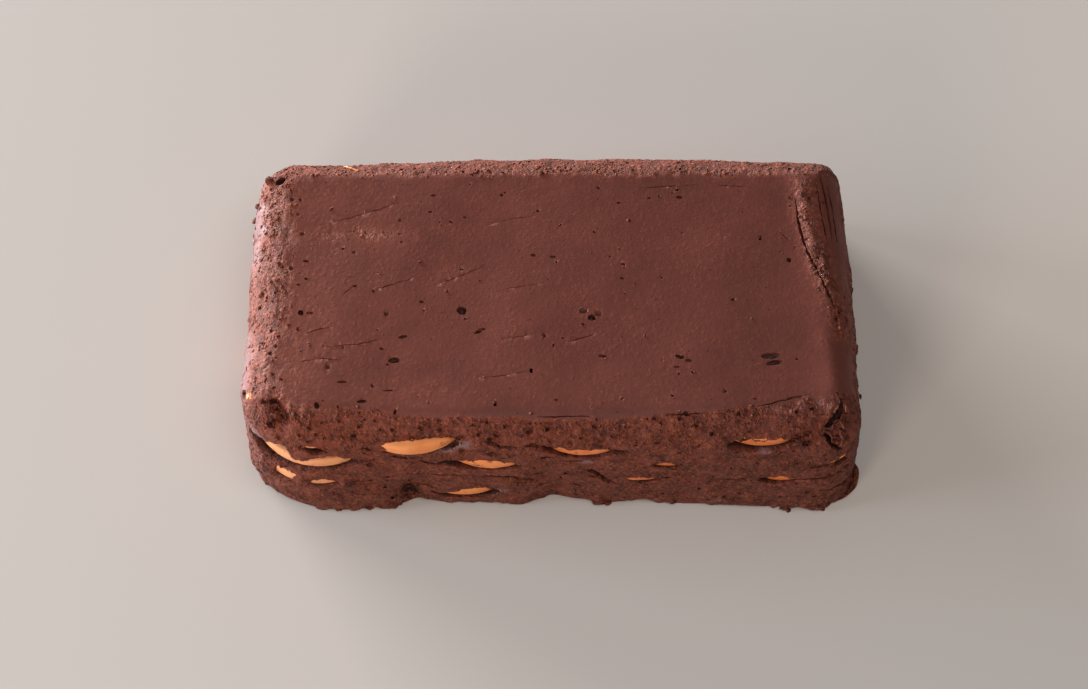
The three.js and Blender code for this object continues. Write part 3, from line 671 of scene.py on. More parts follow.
def roughness_at(points, normals):
    """0 where the mould left the cream smooth, 1 where it is torn and porous."""
    x, y, z = points.T
    on_top = z > CORE_TOP
    wander = grain(points, 9.0, 3)
    front = past_edge("front", band_line(x) - y, wander)
    left = LEFT_ROUGH * past_edge("left", ROUGH_LEFT - x, wander)
    half_worn, worn_rough = WORN_LEFT
    left += worn_rough * past_edge("worn", half_worn - x, wander)
    back = past_edge("back", y - ROUGH_BACK, wander)
    ridge = np.exp(-((path_distance(x, y, RIDGE) / RIDGE_ROUGH) ** 2)) * on_top
    rough = np.maximum.reduce([front, left, back, ridge])
    for at_x, at_y, half_x, half_y, amount in SCUFFS:
        near = np.exp(-(((x - at_x) / half_x) ** 2) - ((y - at_y) / half_y) ** 2)
        rough = np.maximum(rough, amount * near * np.clip(0.8 + wander, 0, 1) * on_top)
    patchy = 0.85 + 0.35 * grain(points, 7.0, 2, 21.0)
    wall = WALL_ROUGH * smooth((0.8 - normals[:, 2]) / 0.4)
    least, varies = TOP_ROUGH
    everywhere = least + varies * np.clip(grain(points, 12.0, 3, 24.0), -1, 1)
    return np.clip(np.maximum.reduce([rough * patchy, wall * patchy, everywhere]), 0, 1)


def sleek_at(points):
    """1 in the middle of the glossy spots."""
    sleek = np.zeros(len(points))
    ragged_edge = 0.35 * grain(points, 2.4, 2, 31.0)
    for *middle, radius in SLEEK:
        far = np.linalg.norm((points - middle) * SLEEK_FORM, axis=1) / radius
        sleek = np.maximum(sleek, smooth(1.25 - far + ragged_edge))
    return sleek


def liner_strokes(points):
    """Low strokes that the mould's liner left in the smooth cream."""
    x, y, _ = points.T
    along = x * math.cos(STROKE_TURN) + y * math.sin(STROKE_TURN)
    across = -x * math.sin(STROKE_TURN) + y * math.cos(STROKE_TURN)
    return lumps_of(np.column_stack([along / STROKE_STRETCH, across, np.zeros_like(x)]), STROKES)


def furrows(points, normals):
    """How deep the upright furrows of the walls are."""
    x, y, z = points.T
    deep = np.zeros(len(points))
    for wall, at, half, most, top in GROOVES:
        run, face, _, _ = WALLS[wall]
        along = x * run[0] + y * run[1]
        facing = np.clip(normals[:, 0] * face[0] + normals[:, 1] * face[1], 0, 1)
        deep += most * facing * np.exp(-(((along - at) / half) ** 2)) * smooth((top - z) / top * 1.5)
    return deep


def round_spots(points, spots, power):
    """Round dents or mounds, with a flatter middle where the power is higher."""
    total = np.zeros(len(points))
    for *middle, radius, high in spots:
        far = np.linalg.norm(points - middle, axis=1) / radius
        total += high * np.exp(-(far**power))
    return total


def torn_foot(points):
    """The ragged foot, most of all along its broken stretches."""
    x, _, z = points.T
    broken = np.full(len(points), FOOT_TORN)
    for at, half in BROKEN_FOOT:
        broken = np.maximum(broken, np.exp(-(((x - at) / half) ** 4)))
    ragged_foot = lumps_of(points, FOOT_LUMPS) + lumps_of(points, FOOT_GRAINS)
    return smooth((FOOT_TOP - z) / 4) * broken * ragged_foot


def relief(points, normals, rough):
    """How far each point stands out of the plain form."""
    x, y, _ = points.T
    wall = smooth((0.9 - normals[:, 2]) / 0.5)
    torn = rough**1.5
    height = lumps_of(points, SWEEP) + wall * lumps_of(points, WALL_LUMPS)
    height += torn * (lumps_of(points, TORN_LUMPS) + lumps_of(points, TORN_GRAINS))
    height += (1 - rough) * liner_strokes(points)
    drop, width = BAND_DROP
    height -= drop * smooth((band_line(x) - y) / width + 0.5) * smooth(normals[:, 2] / 0.5)
    half, high = RIDGE_SIZE
    ridge = np.exp(-((path_distance(x, y, RIDGE) / half) ** 2)) * (normals[:, 2] > 0.5)
    height += ridge * (high + lumps_of(points, RIDGE_LUMPS))
    start, further = LUMPY_LEFT
    height += smooth((start - x) / further) * lumps_of(points, LEFT_LUMPS)
    height -= furrows(points, normals)
    height -= round_spots(points, DENTS, 2)
    height += round_spots(points, MOUNDS, 4)
    return height + torn_foot(points)


# ---- The block ------------------------------------------------------------------------------------


def crowd(t):
    """Draws grid lines together towards both ends of -1 to 1, where the block is rounded."""
    return (5 * t - t**3) / 4


def lattice():
    """The grid on the top and walls of a box: each vertex's place, the quads, and the rim below."""
    count_x, count_y, count_z = CELLS

    def key(i, j, k):
        return (np.asarray(i) * (count_y + 1) + j) * (count_z + 1) + k

    def sheet(count_u, count_v, place, flip):
        u, v = np.meshgrid(np.arange(count_u), np.arange(count_v), indexing="ij")
        u, v = u.ravel(), v.ravel()
        corners = [place(u, v), place(u + 1, v), place(u + 1, v + 1), place(u, v + 1)]
        return np.stack(corners[::-1] if flip else corners, axis=1)

    sheets = [
        sheet(count_x, count_y, lambda u, v: key(u, v, count_z), False),
        sheet(count_x, count_z, lambda u, v: key(u, 0, v), False),
        sheet(count_x, count_z, lambda u, v: key(u, count_y, v), True),
        sheet(count_y, count_z, lambda u, v: key(count_x, u, v), False),
        sheet(count_y, count_z, lambda u, v: key(0, u, v), True),
    ]
    keys, quads = np.unique(np.concatenate(sheets), return_inverse=True)
    k = keys % (count_z + 1)
    j = (keys // (count_z + 1)) % (count_y + 1)
    i = keys // ((count_z + 1) * (count_y + 1))
    run_x, run_y = np.arange(count_x), np.arange(count_y)
    rim = np.concatenate([
        key(run_x, 0, 0),
        key(count_x, run_y, 0),
        key(count_x - run_x, count_y, 0),
        key(0, count_y - run_y, 0),
    ])
    return np.column_stack([i, j, k]), quads.reshape(-1, 4), np.searchsorted(keys, rim)[::-1]


def plain_block():
    places, quads, rim = lattice()
    share = places / np.array(CELLS)
    box = np.empty_like(share)
    box[:, 0] = crowd(2 * share[:, 0] - 1) * HALF_X + MIDDLE[0]
    box[:, 1] = crowd(2 * share[:, 1] - 1) * HALF_Y + MIDDLE[1]
    box[:, 2] = share[:, 2] * HEIGHT
    data = bpy.data.meshes.new("cream_block")
    data.from_pydata(onto_block(box).tolist(), [], quads.tolist() + [rim.tolist()])
    data.update()
    piece = bpy.data.objects.new("cream_block", data)
    bpy.context.scene.collection.objects.link(piece)
    return piece


def cutters():
    """All crevices, torn openings and pits of the top, as one closed piece."""
    meshes = [opening_cutter(*opening) for opening in OPENINGS.values()]
    meshes += [crevice_cutter(*crevice) for crevice in CREVICES]
    meshes += [crack_cutter(*crack) for crack in CRACKS]
    meshes += [pit_cutter(*pit) for pit in TOP_PITS]
    pieces = [as_object("cutter", mesh) for mesh in meshes]
    combine(pieces[0], pieces[1:], "UNION")
    return pieces[0]


def drop_slivers(data):
    """Melts away the tiny faces that cutting leaves."""
    mesh = bmesh.new()
    mesh.from_mesh(data)
    bmesh.ops.dissolve_degenerate(mesh, edges=mesh.edges, dist=SLIVER)
    mesh.to_mesh(data)
    mesh.free()


# Air pits strewn over the torn skin, for each square millimetre, and their sizes
STREWN_PITS = {
    "Most": 0.05, "Gap": 2.7, "Smallest": 0.5, "Largest": 1.4, "Sink": -0.25, "Stretch": 1.3, "Seed": 5,
}
# How many of them there are on the smooth top, on a torn wall, on the torn top, and more at the left
PIT_SHARES = {"smooth_top": 0.05, "wall": 0.45, "torn_top": 0.55, "left_top": 0.08}


def random_pits(skin):
    """Air pits strewn over the torn parts of the skin, to be cut out of it."""
    points = coordinates(skin.data)
    rough = roughness_at(points, directions(skin.data))
    left = smooth((-60 - points[:, 0]) / 30)
    top = smooth((points[:, 2] - CORE_TOP) / 4)
    share = PIT_SHARES["smooth_top"] * top + PIT_SHARES["left_top"] * left * top
    share += rough * (PIT_SHARES["wall"] + PIT_SHARES["torn_top"] * top)
    share = np.clip(share, 0, 1) * smooth((points[:, 2] - 3) / 3)
    return strew(strewing_tree(), skin, share, crumb_shape("pit", 2, 0.9), "pits", **STREWN_PITS)


def cream_block():
    piece = plain_block()
    pits = random_pits(piece)
    combine(piece, [cutters(), pits], "DIFFERENCE")
    drop_slivers(piece.data)
    data = piece.data
    points = coordinates(data)
    normals = directions(data)
    rough = roughness_at(points, normals)
    # The underside stays flat, and nothing else comes down to it
    raised = smooth(points[:, 2] / FLAT_BELOW)
    moved = points + normals * (relief(points, normals, rough) * raised)[:, None]
    moved[:, 2] = np.where(points[:, 2] < UNDERSIDE, 0.0, np.maximum(moved[:, 2], 5 * UNDERSIDE))
    data.vertices.foreach_set("co", (moved * MM).astype(np.float32).ravel())
    set_share(data, "rough", rough)
    set_share(data, "sleek", sleek_at(points))
    # the deep share darkens the cream in cuts and crevices: painted shade
    set_share(data, "deep", smooth(-cake_distance(points) / SHADED))
    data.update()
    data.shade_smooth()
    data.set_sharp_from_angle(angle=SHARP)
    return piece


# ---- Biscuits --------------------------------------------------------------------------------

RIM_ROUND = 1.5
RIM_STEPS = 8
AROUND = 120


def biscuit_profile(radius, thickness):
    """Half section of a biscuit, from the middle of its lower face round the rim to the top."""
    half = thickness / 2
    profile = [(0.0, -half), (radius * 0.4, -half), (radius * 0.75, -half)]
    for step in range(RIM_STEPS + 1):
        angle = math.radians(-90 + 180 * step / RIM_STEPS)
        lift = (half - RIM_ROUND) * np.sign(round(math.sin(angle), 6))
        reach = radius - RIM_ROUND + RIM_ROUND * math.cos(angle)
        profile.append((reach, lift + RIM_ROUND * math.sin(angle)))
    profile += [(radius * 0.75, half), (radius * 0.4, half), (0.0, half)]
    return profile


def turned(profile, around):
    """A bmesh turned round the Z axis from a half section that starts and ends on the axis."""
    mesh = bmesh.new()
    rings = []
    for reach, high in profile:
        if reach == 0:
            rings.append([mesh.verts.new((0, 0, high))] * around)
            continue
        ring = []
        for step in range(around):
            angle = 2 * math.pi * step / around
            ring.append(mesh.verts.new((reach * math.cos(angle), reach * math.sin(angle), high)))
        rings.append(ring)
    for lower, upper in zip(rings, rings[1:]):
        for step in range(around):
            after = (step + 1) % around
            corners = (lower[step], lower[after], upper[after], upper[step])
            mesh.faces.new(list(dict.fromkeys(corners)))
    return mesh


def place_of(node):
    """Middle, upward way, radius and thickness of a biscuit, worked out from its solid."""
    corners = coordinates(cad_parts[node].data) / MM
    middle = (corners.max(0) + corners.min(0)) / 2
    _, _, axes = np.linalg.svd(corners - corners.mean(0), full_matrices=False)
    up = axes[2] * math.copysign(1, axes[2][2])
    flat = corners - middle
    lift = flat @ up
    radius = np.linalg.norm(flat - lift[:, None] * up, axis=1).max()
    return Vector(middle), Vector(up), radius, np.ptp(lift)


def fine_biscuit(node):
    """A smooth round biscuit in the place of its solid."""
    centre, up, radius, thickness = place_of(node)
    turn = Vector((0, 0, 1)).rotation_difference(up).to_matrix()
    mesh = turned(biscuit_profile(radius, thickness), AROUND)
    for vertex in mesh.verts:
        spot = vertex.co.copy()
        spot += spot.normalized() * 0.12 * noise.fractal(spot / 5 + centre, 1.0, 2.0, 2)
        vertex.co = turn @ spot + centre
    return finished(node.replace("biscuit_", "tea_biscuit_"), mesh)


def finished(name, mesh, scale=MM):
    bmesh.ops.recalc_face_normals(mesh, faces=mesh.faces)
    piece = as_object(name, mesh, scale)
    piece.data.shade_smooth()
    return piece


def broken_bit(node):
    """A broken bit: its solid's own shape, with softened edges and a crumbly break."""
    mesh = bmesh.new()
    mesh.from_mesh(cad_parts[node].data)
    bmesh.ops.remove_doubles(mesh, verts=mesh.verts, dist=1e-6)
    bmesh.ops.dissolve_limit(mesh, angle_limit=0.02, verts=mesh.verts, edges=mesh.edges)
    bmesh.ops.bevel(mesh, geom=mesh.edges[:], offset=0.5 * MM, segments=2, affect="EDGES")
    bmesh.ops.triangulate(mesh, faces=mesh.faces)
    bmesh.ops.subdivide_edges(mesh, edges=mesh.edges[:], cuts=2, use_grid_fill=True)
    for vertex in mesh.verts:
        vertex.co += vertex.normal * 0.15 * MM * noise.noise(vertex.co / MM / 0.8)
    return finished(node.replace("biscuit_", "tea_biscuit_"), mesh, 1.0)


# ---- Crumbs -----------------------------------------------------------------------------------

# Lumps and curls of cream that stand out of the skin: middle, length, width, height and turn
LUMPS = (
    (-99.9, 45.2, 49.4, 3.2, 2.6, 4.2, 20), (-98.6, 46.6, 47.8, 2.6, 3.0, 3.0, 0),
    (-105.6, 34.0, 40.6, 2.2, 1.4, 1.4, 70), (-104.0, 37.6, 44.6, 2.4, 2.2, 2.0, 0),
    (98.8, -44.2, 51.4, 1.5, 3.4, 1.7, 20), (99.4, -46.6, 50.4, 1.3, 3.0, 1.5, -10),
    (97.6, -49.6, 49.6, 1.2, 2.6, 1.5, 10), (97.0, -52.2, 48.0, 1.4, 3.8, 1.6, 14),
    (97.4, -54.0, 45.6, 1.3, 3.2, 1.7, -8), (104.9, -35.9, 43.6, 0.8, 2.0, 0.9, 0),
    (104.4, -41.6, 43.6, 0.7, 1.6, 0.7, 0), (17.0, -56.9, 1.4, 4.4, 2.6, 2.0, 10),
    (20.0, -57.2, 1.0, 2.6, 2.0, 1.4, 0), (42.6, -57.0, 1.8, 3.0, 2.0, 1.8, 0),
    (82.0, -58.6, 1.1, 3.0, 2.8, 1.9, 0), (83.4, -59.8, 0.6, 1.8, 1.6, 1.0, 30),
    (90.6, -58.2, 2.2, 2.8, 2.4, 2.2, 0), (93.8, -57.9, 1.9, 3.4, 2.6, 2.4, 20),
    (97.0, -56.9, 1.7, 3.0, 2.4, 2.2, 30), (99.6, -55.4, 1.5, 2.8, 2.4, 2.0, 40),
    (95.0, -59.2, 0.8, 2.2, 1.8, 1.2, 0), (-54.0, -57.4, 0.9, 3.0, 2.0, 1.6, 0),
    (-59.0, -58.6, 0.9, 3.2, 2.0, 1.6, 10), (-64.0, -59.2, 0.8, 2.6, 1.8, 1.4, 0),
    (-69.4, -59.6, 0.8, 3.0, 1.8, 1.4, 0), (-75.0, -59.8, 0.7, 2.6, 1.6, 1.3, -8),
    (-80.4, -59.2, 0.8, 3.0, 1.8, 1.4, -14), (-51.0, -56.6, 3.4, 2.6, 2.0, 2.0, 0),
    (-45.6, 11.2, 52.1, 1.6, 0.7, 0.5, 40),
)

# Slivers of broken biscuit that lie in the skin, given in the same way
SLIVERS = (
    (-68.9, 48.7, 50.4, 9.5, 1.1, 1.1, -25), (96.2, -55.3, 33.9, 3.2, 0.7, 0.6, 28),
    (98.5, -54.3, 35.1, 3.2, 0.7, 0.6, 33),
)
# Nothing that lies on the foot comes lower than this
CLEAR_OF_FLOOR = 0.02

# The flap squeezed out at the foot of the front right corner: places along the wall past its
# end, how far it stands out, and the height of its upper edge
FLAP = (
    (101, 0.1, 0.5), (104, 0.7, 1.2), (107, 1.5, 2.2), (110, 2.4, 3.6), (113, 2.9, 5.6),
    (115.5, 2.6, 7.8), (117.5, 1.7, 9.6), (119, 0.1, 10.6),
)
# How thick its lip is, how far it is rooted in the block, and how far apart its sections are
FLAP_LIP = 0.45
FLAP_ROOT = 1.0
FLAP_STEP = 0.8


def lump(x, y, z, length, width, height, turn):
    """A lumpy ball, squeezed and turned, that stays above the floor."""
    mesh = bmesh.new()
    bmesh.ops.create_icosphere(mesh, subdivisions=3, radius=0.5)
    spot = Vector((x, y, z))
    for vertex in mesh.verts:
        ball = vertex.co * (1 + 0.5 * noise.fractal(vertex.co * 3.2 + spot, 1.0, 2.0, 3))
        reach = Vector((ball.x * length, ball.y * width, ball.z * height))
        reach.rotate(Matrix.Rotation(math.radians(turn), 3, "Z"))
        vertex.co = spot + reach
        vertex.co.z = max(vertex.co.z, CLEAR_OF_FLOOR)
    return mesh


def joined(name, meshes):
    """One piece from several bmeshes."""
    whole = bmesh.new()
    for mesh in meshes:
        data = bpy.data.meshes.new(name)
        mesh.to_mesh(data)
        mesh.free()
        whole.from_mesh(data)
        bpy.data.meshes.remove(data)
    piece = finished(name, whole)
    set_share(piece.data, "rough", np.ones(len(piece.data.vertices)))
    return piece


def base_flap():
    """The flap: a bent lip with a foot on the floor and a root inside the block."""
    rows = curve(FLAP, FLAP_STEP)
    along, out, high = rows.T
    foot = wall_points("front", along, np.zeros(len(rows)))
    brim = wall_points("front", along, high)
    way = -level_inward(foot)
    wavy = 0.25 * grain(foot, 2.0, 2, 61.0)[:, None]
    out = out[:, None]
    inner = foot - way * FLAP_ROOT
    toe = foot + way * (out * 0.8 + wavy)
    edge = brim + way * (out + wavy)
    lip = edge - way * FLAP_LIP
    root = foot + way * (out * 0.25 - 0.4)
    heights = (CLEAR_OF_FLOOR, CLEAR_OF_FLOOR, high, high, np.minimum(0.8, high * 0.4))
    for ring, level in zip((inner, toe, edge, lip, root), heights):
        ring[:, 2] = level
    return joined("base_flap", [loft(np.stack([inner, toe, edge, lip, root], axis=1))])


def crumb_shape(name, subdivisions, flat):
    """One crumb or pit to strew: a lumpy ball, one unit across."""
    mesh = bmesh.new()
    bmesh.ops.create_icosphere(mesh, subdivisions=subdivisions, radius=0.5)
    for vertex in mesh.verts:
        vertex.co *= 1 + 0.45 * noise.noise(vertex.co * 3 + Vector((2, 5, 1)))
        vertex.co.z *= flat
    piece = finished(name, mesh, 1.0)
    set_share(piece.data, "rough", np.ones(len(piece.data.vertices)))
    return piece


def strewing_tree():
    """Strews turned copies of a shape over a skin, more where the skin's "strew" share is high."""
    tree = bpy.data.node_groups.new("strewn crumbs", "GeometryNodeTree")
    sockets = (
        ("Geometry", "NodeSocketGeometry"),
        ("Shape", "NodeSocketObject"),
        ("Most", "NodeSocketFloat"),
        ("Gap", "NodeSocketFloat"),
        ("Smallest", "NodeSocketFloat"),
        ("Largest", "NodeSocketFloat"),
        ("Sink", "NodeSocketFloat"),
        ("Stretch", "NodeSocketFloat"),
        ("Seed", "NodeSocketInt"),
        ("Material", "NodeSocketMaterial"),
    )
    for name, kind in sockets:
        tree.interface.new_socket(name, in_out="INPUT", socket_type=kind)
    tree.interface.new_socket("Geometry", in_out="OUTPUT", socket_type="NodeSocketGeometry")
    nodes, links = tree.nodes, tree.links
    given = nodes.new("NodeGroupInput").outputs
    share = nodes.new("GeometryNodeInputNamedAttribute")
    share.data_type = "FLOAT"
    share.inputs["Name"].default_value = "strew"
    spread = nodes.new("GeometryNodeDistributePointsOnFaces")
    spread.distribute_method = "POISSON"
    links.new(given["Geometry"], spread.inputs["Mesh"])
    links.new(given["Gap"], spread.inputs["Distance Min"])
    links.new(given["Most"], spread.inputs["Density Max"])
    links.new(share.outputs["Attribute"], spread.inputs["Density Factor"])
    links.new(given["Seed"], spread.inputs["Seed"])
    sink = nodes.new("ShaderNodeVectorMath")
    sink.operation = "SCALE"
    links.new(spread.outputs["Normal"], sink.inputs[0])
    links.new(given["Sink"], sink.inputs["Scale"])
    moved = nodes.new("GeometryNodeSetPosition")
    links.new(spread.outputs["Points"], moved.inputs["Geometry"])
    links.new(sink.outputs["Vector"], moved.inputs["Offset"])
    shape = nodes.new("GeometryNodeObjectInfo")
    links.new(given["Shape"], shape.inputs["Object"])
    spin = nodes.new("FunctionNodeRandomValue")
    spin.data_type = "FLOAT"
    spin.inputs[3].default_value = 2 * math.pi
    links.new(given["Seed"], spin.inputs["Seed"])
    about = nodes.new("FunctionNodeAxisAngleToRotation")
    about.inputs["Axis"].default_value = (0, 0, 1)
    links.new(spin.outputs[1], about.inputs["Angle"])
    turn = nodes.new("FunctionNodeRotateRotation")
    turn.rotation_space = "LOCAL"
    links.new(spread.outputs["Rotation"], turn.inputs["Rotation"])
    links.new(about.outputs["Rotation"], turn.inputs["Rotate By"])
    size = nodes.new("FunctionNodeRandomValue")
    size.data_type = "FLOAT"
    links.new(given["Smallest"], size.inputs[2])
    links.new(given["Largest"], size.inputs[3])
    links.new(given["Seed"], size.inputs["Seed"])
    longer = nodes.new("ShaderNodeMath")
    longer.operation = "MULTIPLY"
    links.new(size.outputs[1], longer.inputs[0])
    links.new(given["Stretch"], longer.inputs[1])
    sizes = nodes.new("ShaderNodeCombineXYZ")
    links.new(longer.outputs[0], sizes.inputs["X"])
    links.new(size.outputs[1], sizes.inputs["Y"])
    links.new(size.outputs[1], sizes.inputs["Z"])
    copies = nodes.new("GeometryNodeInstanceOnPoints")
    links.new(moved.outputs["Geometry"], copies.inputs["Points"])
    links.new(shape.outputs["Geometry"], copies.inputs["Instance"])
    links.new(turn.outputs["Rotation"], copies.inputs["Rotation"])
    links.new(sizes.outputs["Vector"], copies.inputs["Scale"])
    real = nodes.new("GeometryNodeRealizeInstances")
    links.new(copies.outputs["Instances"], real.inputs["Geometry"])
    dressed = nodes.new("GeometryNodeSetMaterial")
    links.new(real.outputs["Geometry"], dressed.inputs["Geometry"])
    links.new(given["Material"], dressed.inputs["Material"])
    links.new(dressed.outputs["Geometry"], nodes.new("NodeGroupOutput").inputs[0])
    return tree


def strew(tree, skin, share, shape, name, **values):
    """Strews a shape over a copy of the skin. The copies are returned as one plain piece."""
    data = skin.data.copy()
    set_share(data, "strew", share)
    piece = bpy.data.objects.new(name, data)
    bpy.context.scene.collection.objects.link(piece)
    strewn = piece.modifiers.new("strewn", "NODES")
    strewn.node_group = tree
    sockets = {item.name: item.identifier for item in tree.interface.items_tree if item.in_out == "INPUT"}
    strewn[sockets["Shape"]] = shape
    for word, value in values.items():
        strewn[sockets[word]] = value
    settle(piece)
    bpy.data.objects.remove(shape)
    return piece


# ---- Materials -------------------------------------------------------------------------------


def colour(red, green, blue):
    """A colour as it is seen on a screen, from 0 to 255, made linear."""
    def linear(value):
        value /= 255
        return value / 12.92 if value <= 0.04045 else ((value + 0.055) / 1.055) ** 2.4

    return (linear(red), linear(green), linear(blue), 1.0)


# The smooth cream goes through these shades, from its darker clouds to its paler ones
CLOUD_SHADES = ((0.32, colour(97, 48, 38)), (0.5, colour(107, 53, 43)), (0.68, colour(117, 60, 49)))
# own shade of the torn cream, made warmer in part as painted warm light bounced onto the walls
TORN_CREAM = colour(144, 64, 38)
LOOSE_CREAM = colour(156, 74, 46)
# Tints laid over the cream in this order, each with its strongest share. Most of them are painted light and
# shade.
CREAM_TINTS = {
    # painted shade: darker towards the right end, away from the light
    "right end": (0.55, colour(72, 31, 24)),
    # painted sheen: the side light's greyish mauve sheen on the left end
    "left end": (0.26, colour(138, 102, 100)),
    # painted sheen: mauve reflection of the side light on the glossy spots
    "pressed": (0.5, colour(150, 124, 128)),
    # darker towards the foot: partly painted shade, partly a darker cream
    "foot": (0.6, colour(92, 38, 16)),
    # painted shade in the low grains and sunk clumps of the fine relief
    "low grain": (0.6, colour(66, 30, 22)),
    "sunk clump": (0.5, colour(58, 25, 18)),
    # painted highlights on the high grains, crumb edges and risen clumps
    "high grain": (0.5, colour(150, 84, 62)),
    "speck": (0.6, colour(166, 86, 54)),
    "risen clump": (0.55, colour(164, 88, 60)),
    # painted shade in pores, pinholes and drag marks
    "pore": (0.75, colour(40, 16, 11)),
    # painted shade in cuts and crevices
    "inside": (0.8, colour(38, 15, 10)),
}
# Shades of the baked dough, from its darker clouds to its paler ones
DOUGH_SHADES = ((0.34, colour(216, 118, 58)), (0.5, colour(232, 140, 76)), (0.66, colour(243, 166, 106)))
# Painted light and shade on the rims: paler at the left end of the block, nearer the light, darker and more
# orange at the right
PAINTED_LIGHT_SHADES = ((0.1, colour(240, 172, 124)), (0.28, colour(230, 140, 74)), (0.56, colour(206, 92, 32)),
                (0.85, colour(200, 102, 48)))
PAINTED_LIGHT_SHARE = 0.55
STAIN = colour(132, 66, 40)

# Noise in the finishes: lumps to a metre, finer layers, and how strong those are
CLOUDS = {
    "cream": (38.0, 6.0, 0.62), "grain": (480.0, 4.0, 0.8), "specks": (640.0, 3.0, 0.6),
    "dough": (120.0, 4.0, 0.6), "stains": (260.0, 4.0, 0.65), "crumb": (1500.0, 3.0, 0.6),
}
# Small holes in the cream: cells to a metre, size of a hole in its cell, and share of cells with one
PORES = {
    "large": (300.0, 0.19, 0.45), "small": (800.0, 0.28, 0.5), "pinhole": (260.0, 0.12, 0.5),
    "drag mark": (460.0, 0.24, 0.36),
}
# Clumps of the torn cream to a metre
CLUMPS = 740.0
# Shaking of a pattern: lumps to a metre, and how far they shift it in millimetres
CLUMP_SHAKE = (500.0, 1.2)
PORE_SHAKE = (900.0, 1.4)
# Drag marks lie along strokes that rise to the right, four times as long as wide
DRAG_TURN = math.radians(-13)
DRAG_SCALE = (0.25, 1.0, 1.0)
DRAG_SHARE = 0.6
# Where a mark starts and where it is full, along X or up Z, in millimetres: the painted shade to the right,
# the painted sheen at the left end, the drag marks, the darker foot and the painted light across the
# biscuits
RIGHT_SHADE_RUN = (-150, 100)
LEFT_SHEEN_RUN = (-92, -102)
DRAGGED_LEFT = (11, -99)
FOOT_SHADE = (45.5, 0)
PAINTED_LIGHT_RUN = (-100, 100)
# Roughness of smooth and of torn cream, and how much a pressed spot takes off it
CREAM_GLOSS = (0.48, 0.72)
PRESSED_GLOSS = 0.28
CREAM_SPECULAR = 0.32
BISCUIT_ROUGHNESS = 0.55
# What the finest relief is made of, as shares of the grain's height
FINE_RELIEF = {"pore": -0.5, "risen clump": 0.35, "sunk clump": -0.25}
# Its strength on smooth and on torn cream, and its height in millimetres
CREAM_BUMP = (0.09, 1.0, 3.0)
BISCUIT_BUMP = (0.5, 0.3)


def material_tree(name):
    """A new material, its node tree, its shader, and the object's own coordinates."""
    material = bpy.data.materials.new(name)
    material.use_nodes = True
    tree = material.node_tree
    place = tree.nodes.new("ShaderNodeTexCoord").outputs["Object"]
    return material, tree, tree.nodes["Principled BSDF"], place


def feed(tree, socket, value):
    """Links a socket to another node's output, or gives it a plain value."""
    if isinstance(value, bpy.types.NodeSocket):
        tree.links.new(value, socket)
    else:
        socket.default_value = value


def texture(tree, kind, place, **values):
    """A texture node that is read at a place, with its other inputs given by name."""
    node = tree.nodes.new(kind)
    tree.links.new(place, node.inputs["Vector"])
    for name, value in values.items():
        node.inputs[name].default_value = value
    return node


def clouds(tree, place, name):
    """Cloudy noise of one of the kinds that are named above."""
    scale, detail, roughness = CLOUDS[name]
    return texture(
        tree, "ShaderNodeTexNoise", place, Scale=scale, Detail=detail, Roughness=roughness).outputs["Fac"]


def ramp(tree, source, stops):
    """Shades along a source value, given as places and shades."""
    node = tree.nodes.new("ShaderNodeValToRGB")
    elements = node.color_ramp.elements
    while len(elements) < len(stops):
        elements.new(0.5)
    for element, (place, shade) in zip(elements, stops):
        element.position = place
        element.color = shade
    tree.links.new(source, node.inputs["Fac"])
    return node.outputs["Color"]


def rising(tree, source, start, end, low=0.0, high=1.0):
    """Goes from low to high while a source value goes from start to end, and is level past them."""
    node = tree.nodes.new("ShaderNodeMapRange")
    for name, value in (("From Min", start), ("From Max", end), ("To Min", low), ("To Max", high)):
        node.inputs[name].default_value = value
    tree.links.new(source, node.inputs["Value"])
    return node.outputs["Result"]


def maths(tree, operation, first, second):
    """A Math node of two inputs, each a socket or a number."""
    node = tree.nodes.new("ShaderNodeMath")
    node.operation = operation
    feed(tree, node.inputs[0], first)
    feed(tree, node.inputs[1], second)
    return node.outputs[0]


def times(tree, first, second):
    return maths(tree, "MULTIPLY", first, second)


def blended(tree, share, first, second):
    """A colour mix: the first colour where the share is 0, the second where it is 1."""
    node = tree.nodes.new("ShaderNodeMix")
    node.data_type = "RGBA"
    for name, value in (("Factor", share), ("A", first), ("B", second)):
        feed(tree, node.inputs[name], value)
    return node.outputs["Result"]


def bump(tree, height, strength, distance):
    """Relief too fine for the mesh, with its height given in millimetres."""
    node = tree.nodes.new("ShaderNodeBump")
    node.inputs["Distance"].default_value = distance * MM
    feed(tree, node.inputs["Height"], height)
    feed(tree, node.inputs["Strength"], strength)
    return node.outputs["Normal"]


def share_of(tree, name):
    """A share that the mesh stores for each vertex."""
    node = tree.nodes.new("ShaderNodeAttribute")
    node.attribute_name = name
    return node.outputs["Fac"]


def along(tree, place, axis, run):
    """0 to 1 along an axis, over a run given in millimetres."""
    split = tree.nodes.new("ShaderNodeSeparateXYZ")
    tree.links.new(place, split.inputs["Vector"])
    start, end = run
    return rising(tree, split.outputs[axis], start * MM, end * MM)


def shaken(tree, place, shake):
    """Coordinates shaken by noise, so that what is drawn on them comes out uneven."""
    scale, amount = shake
    noisy = texture(tree, "ShaderNodeTexNoise", place, Scale=scale, Detail=2.0, Roughness=0.6)
    moved = tree.nodes.new("ShaderNodeVectorMath")
    moved.operation = "MULTIPLY_ADD"
    moved.inputs[1].default_value = (amount * MM,) * 3
    tree.links.new(noisy.outputs["Color"], moved.inputs[0])
    tree.links.new(place, moved.inputs[2])
    return moved.outputs["Vector"]


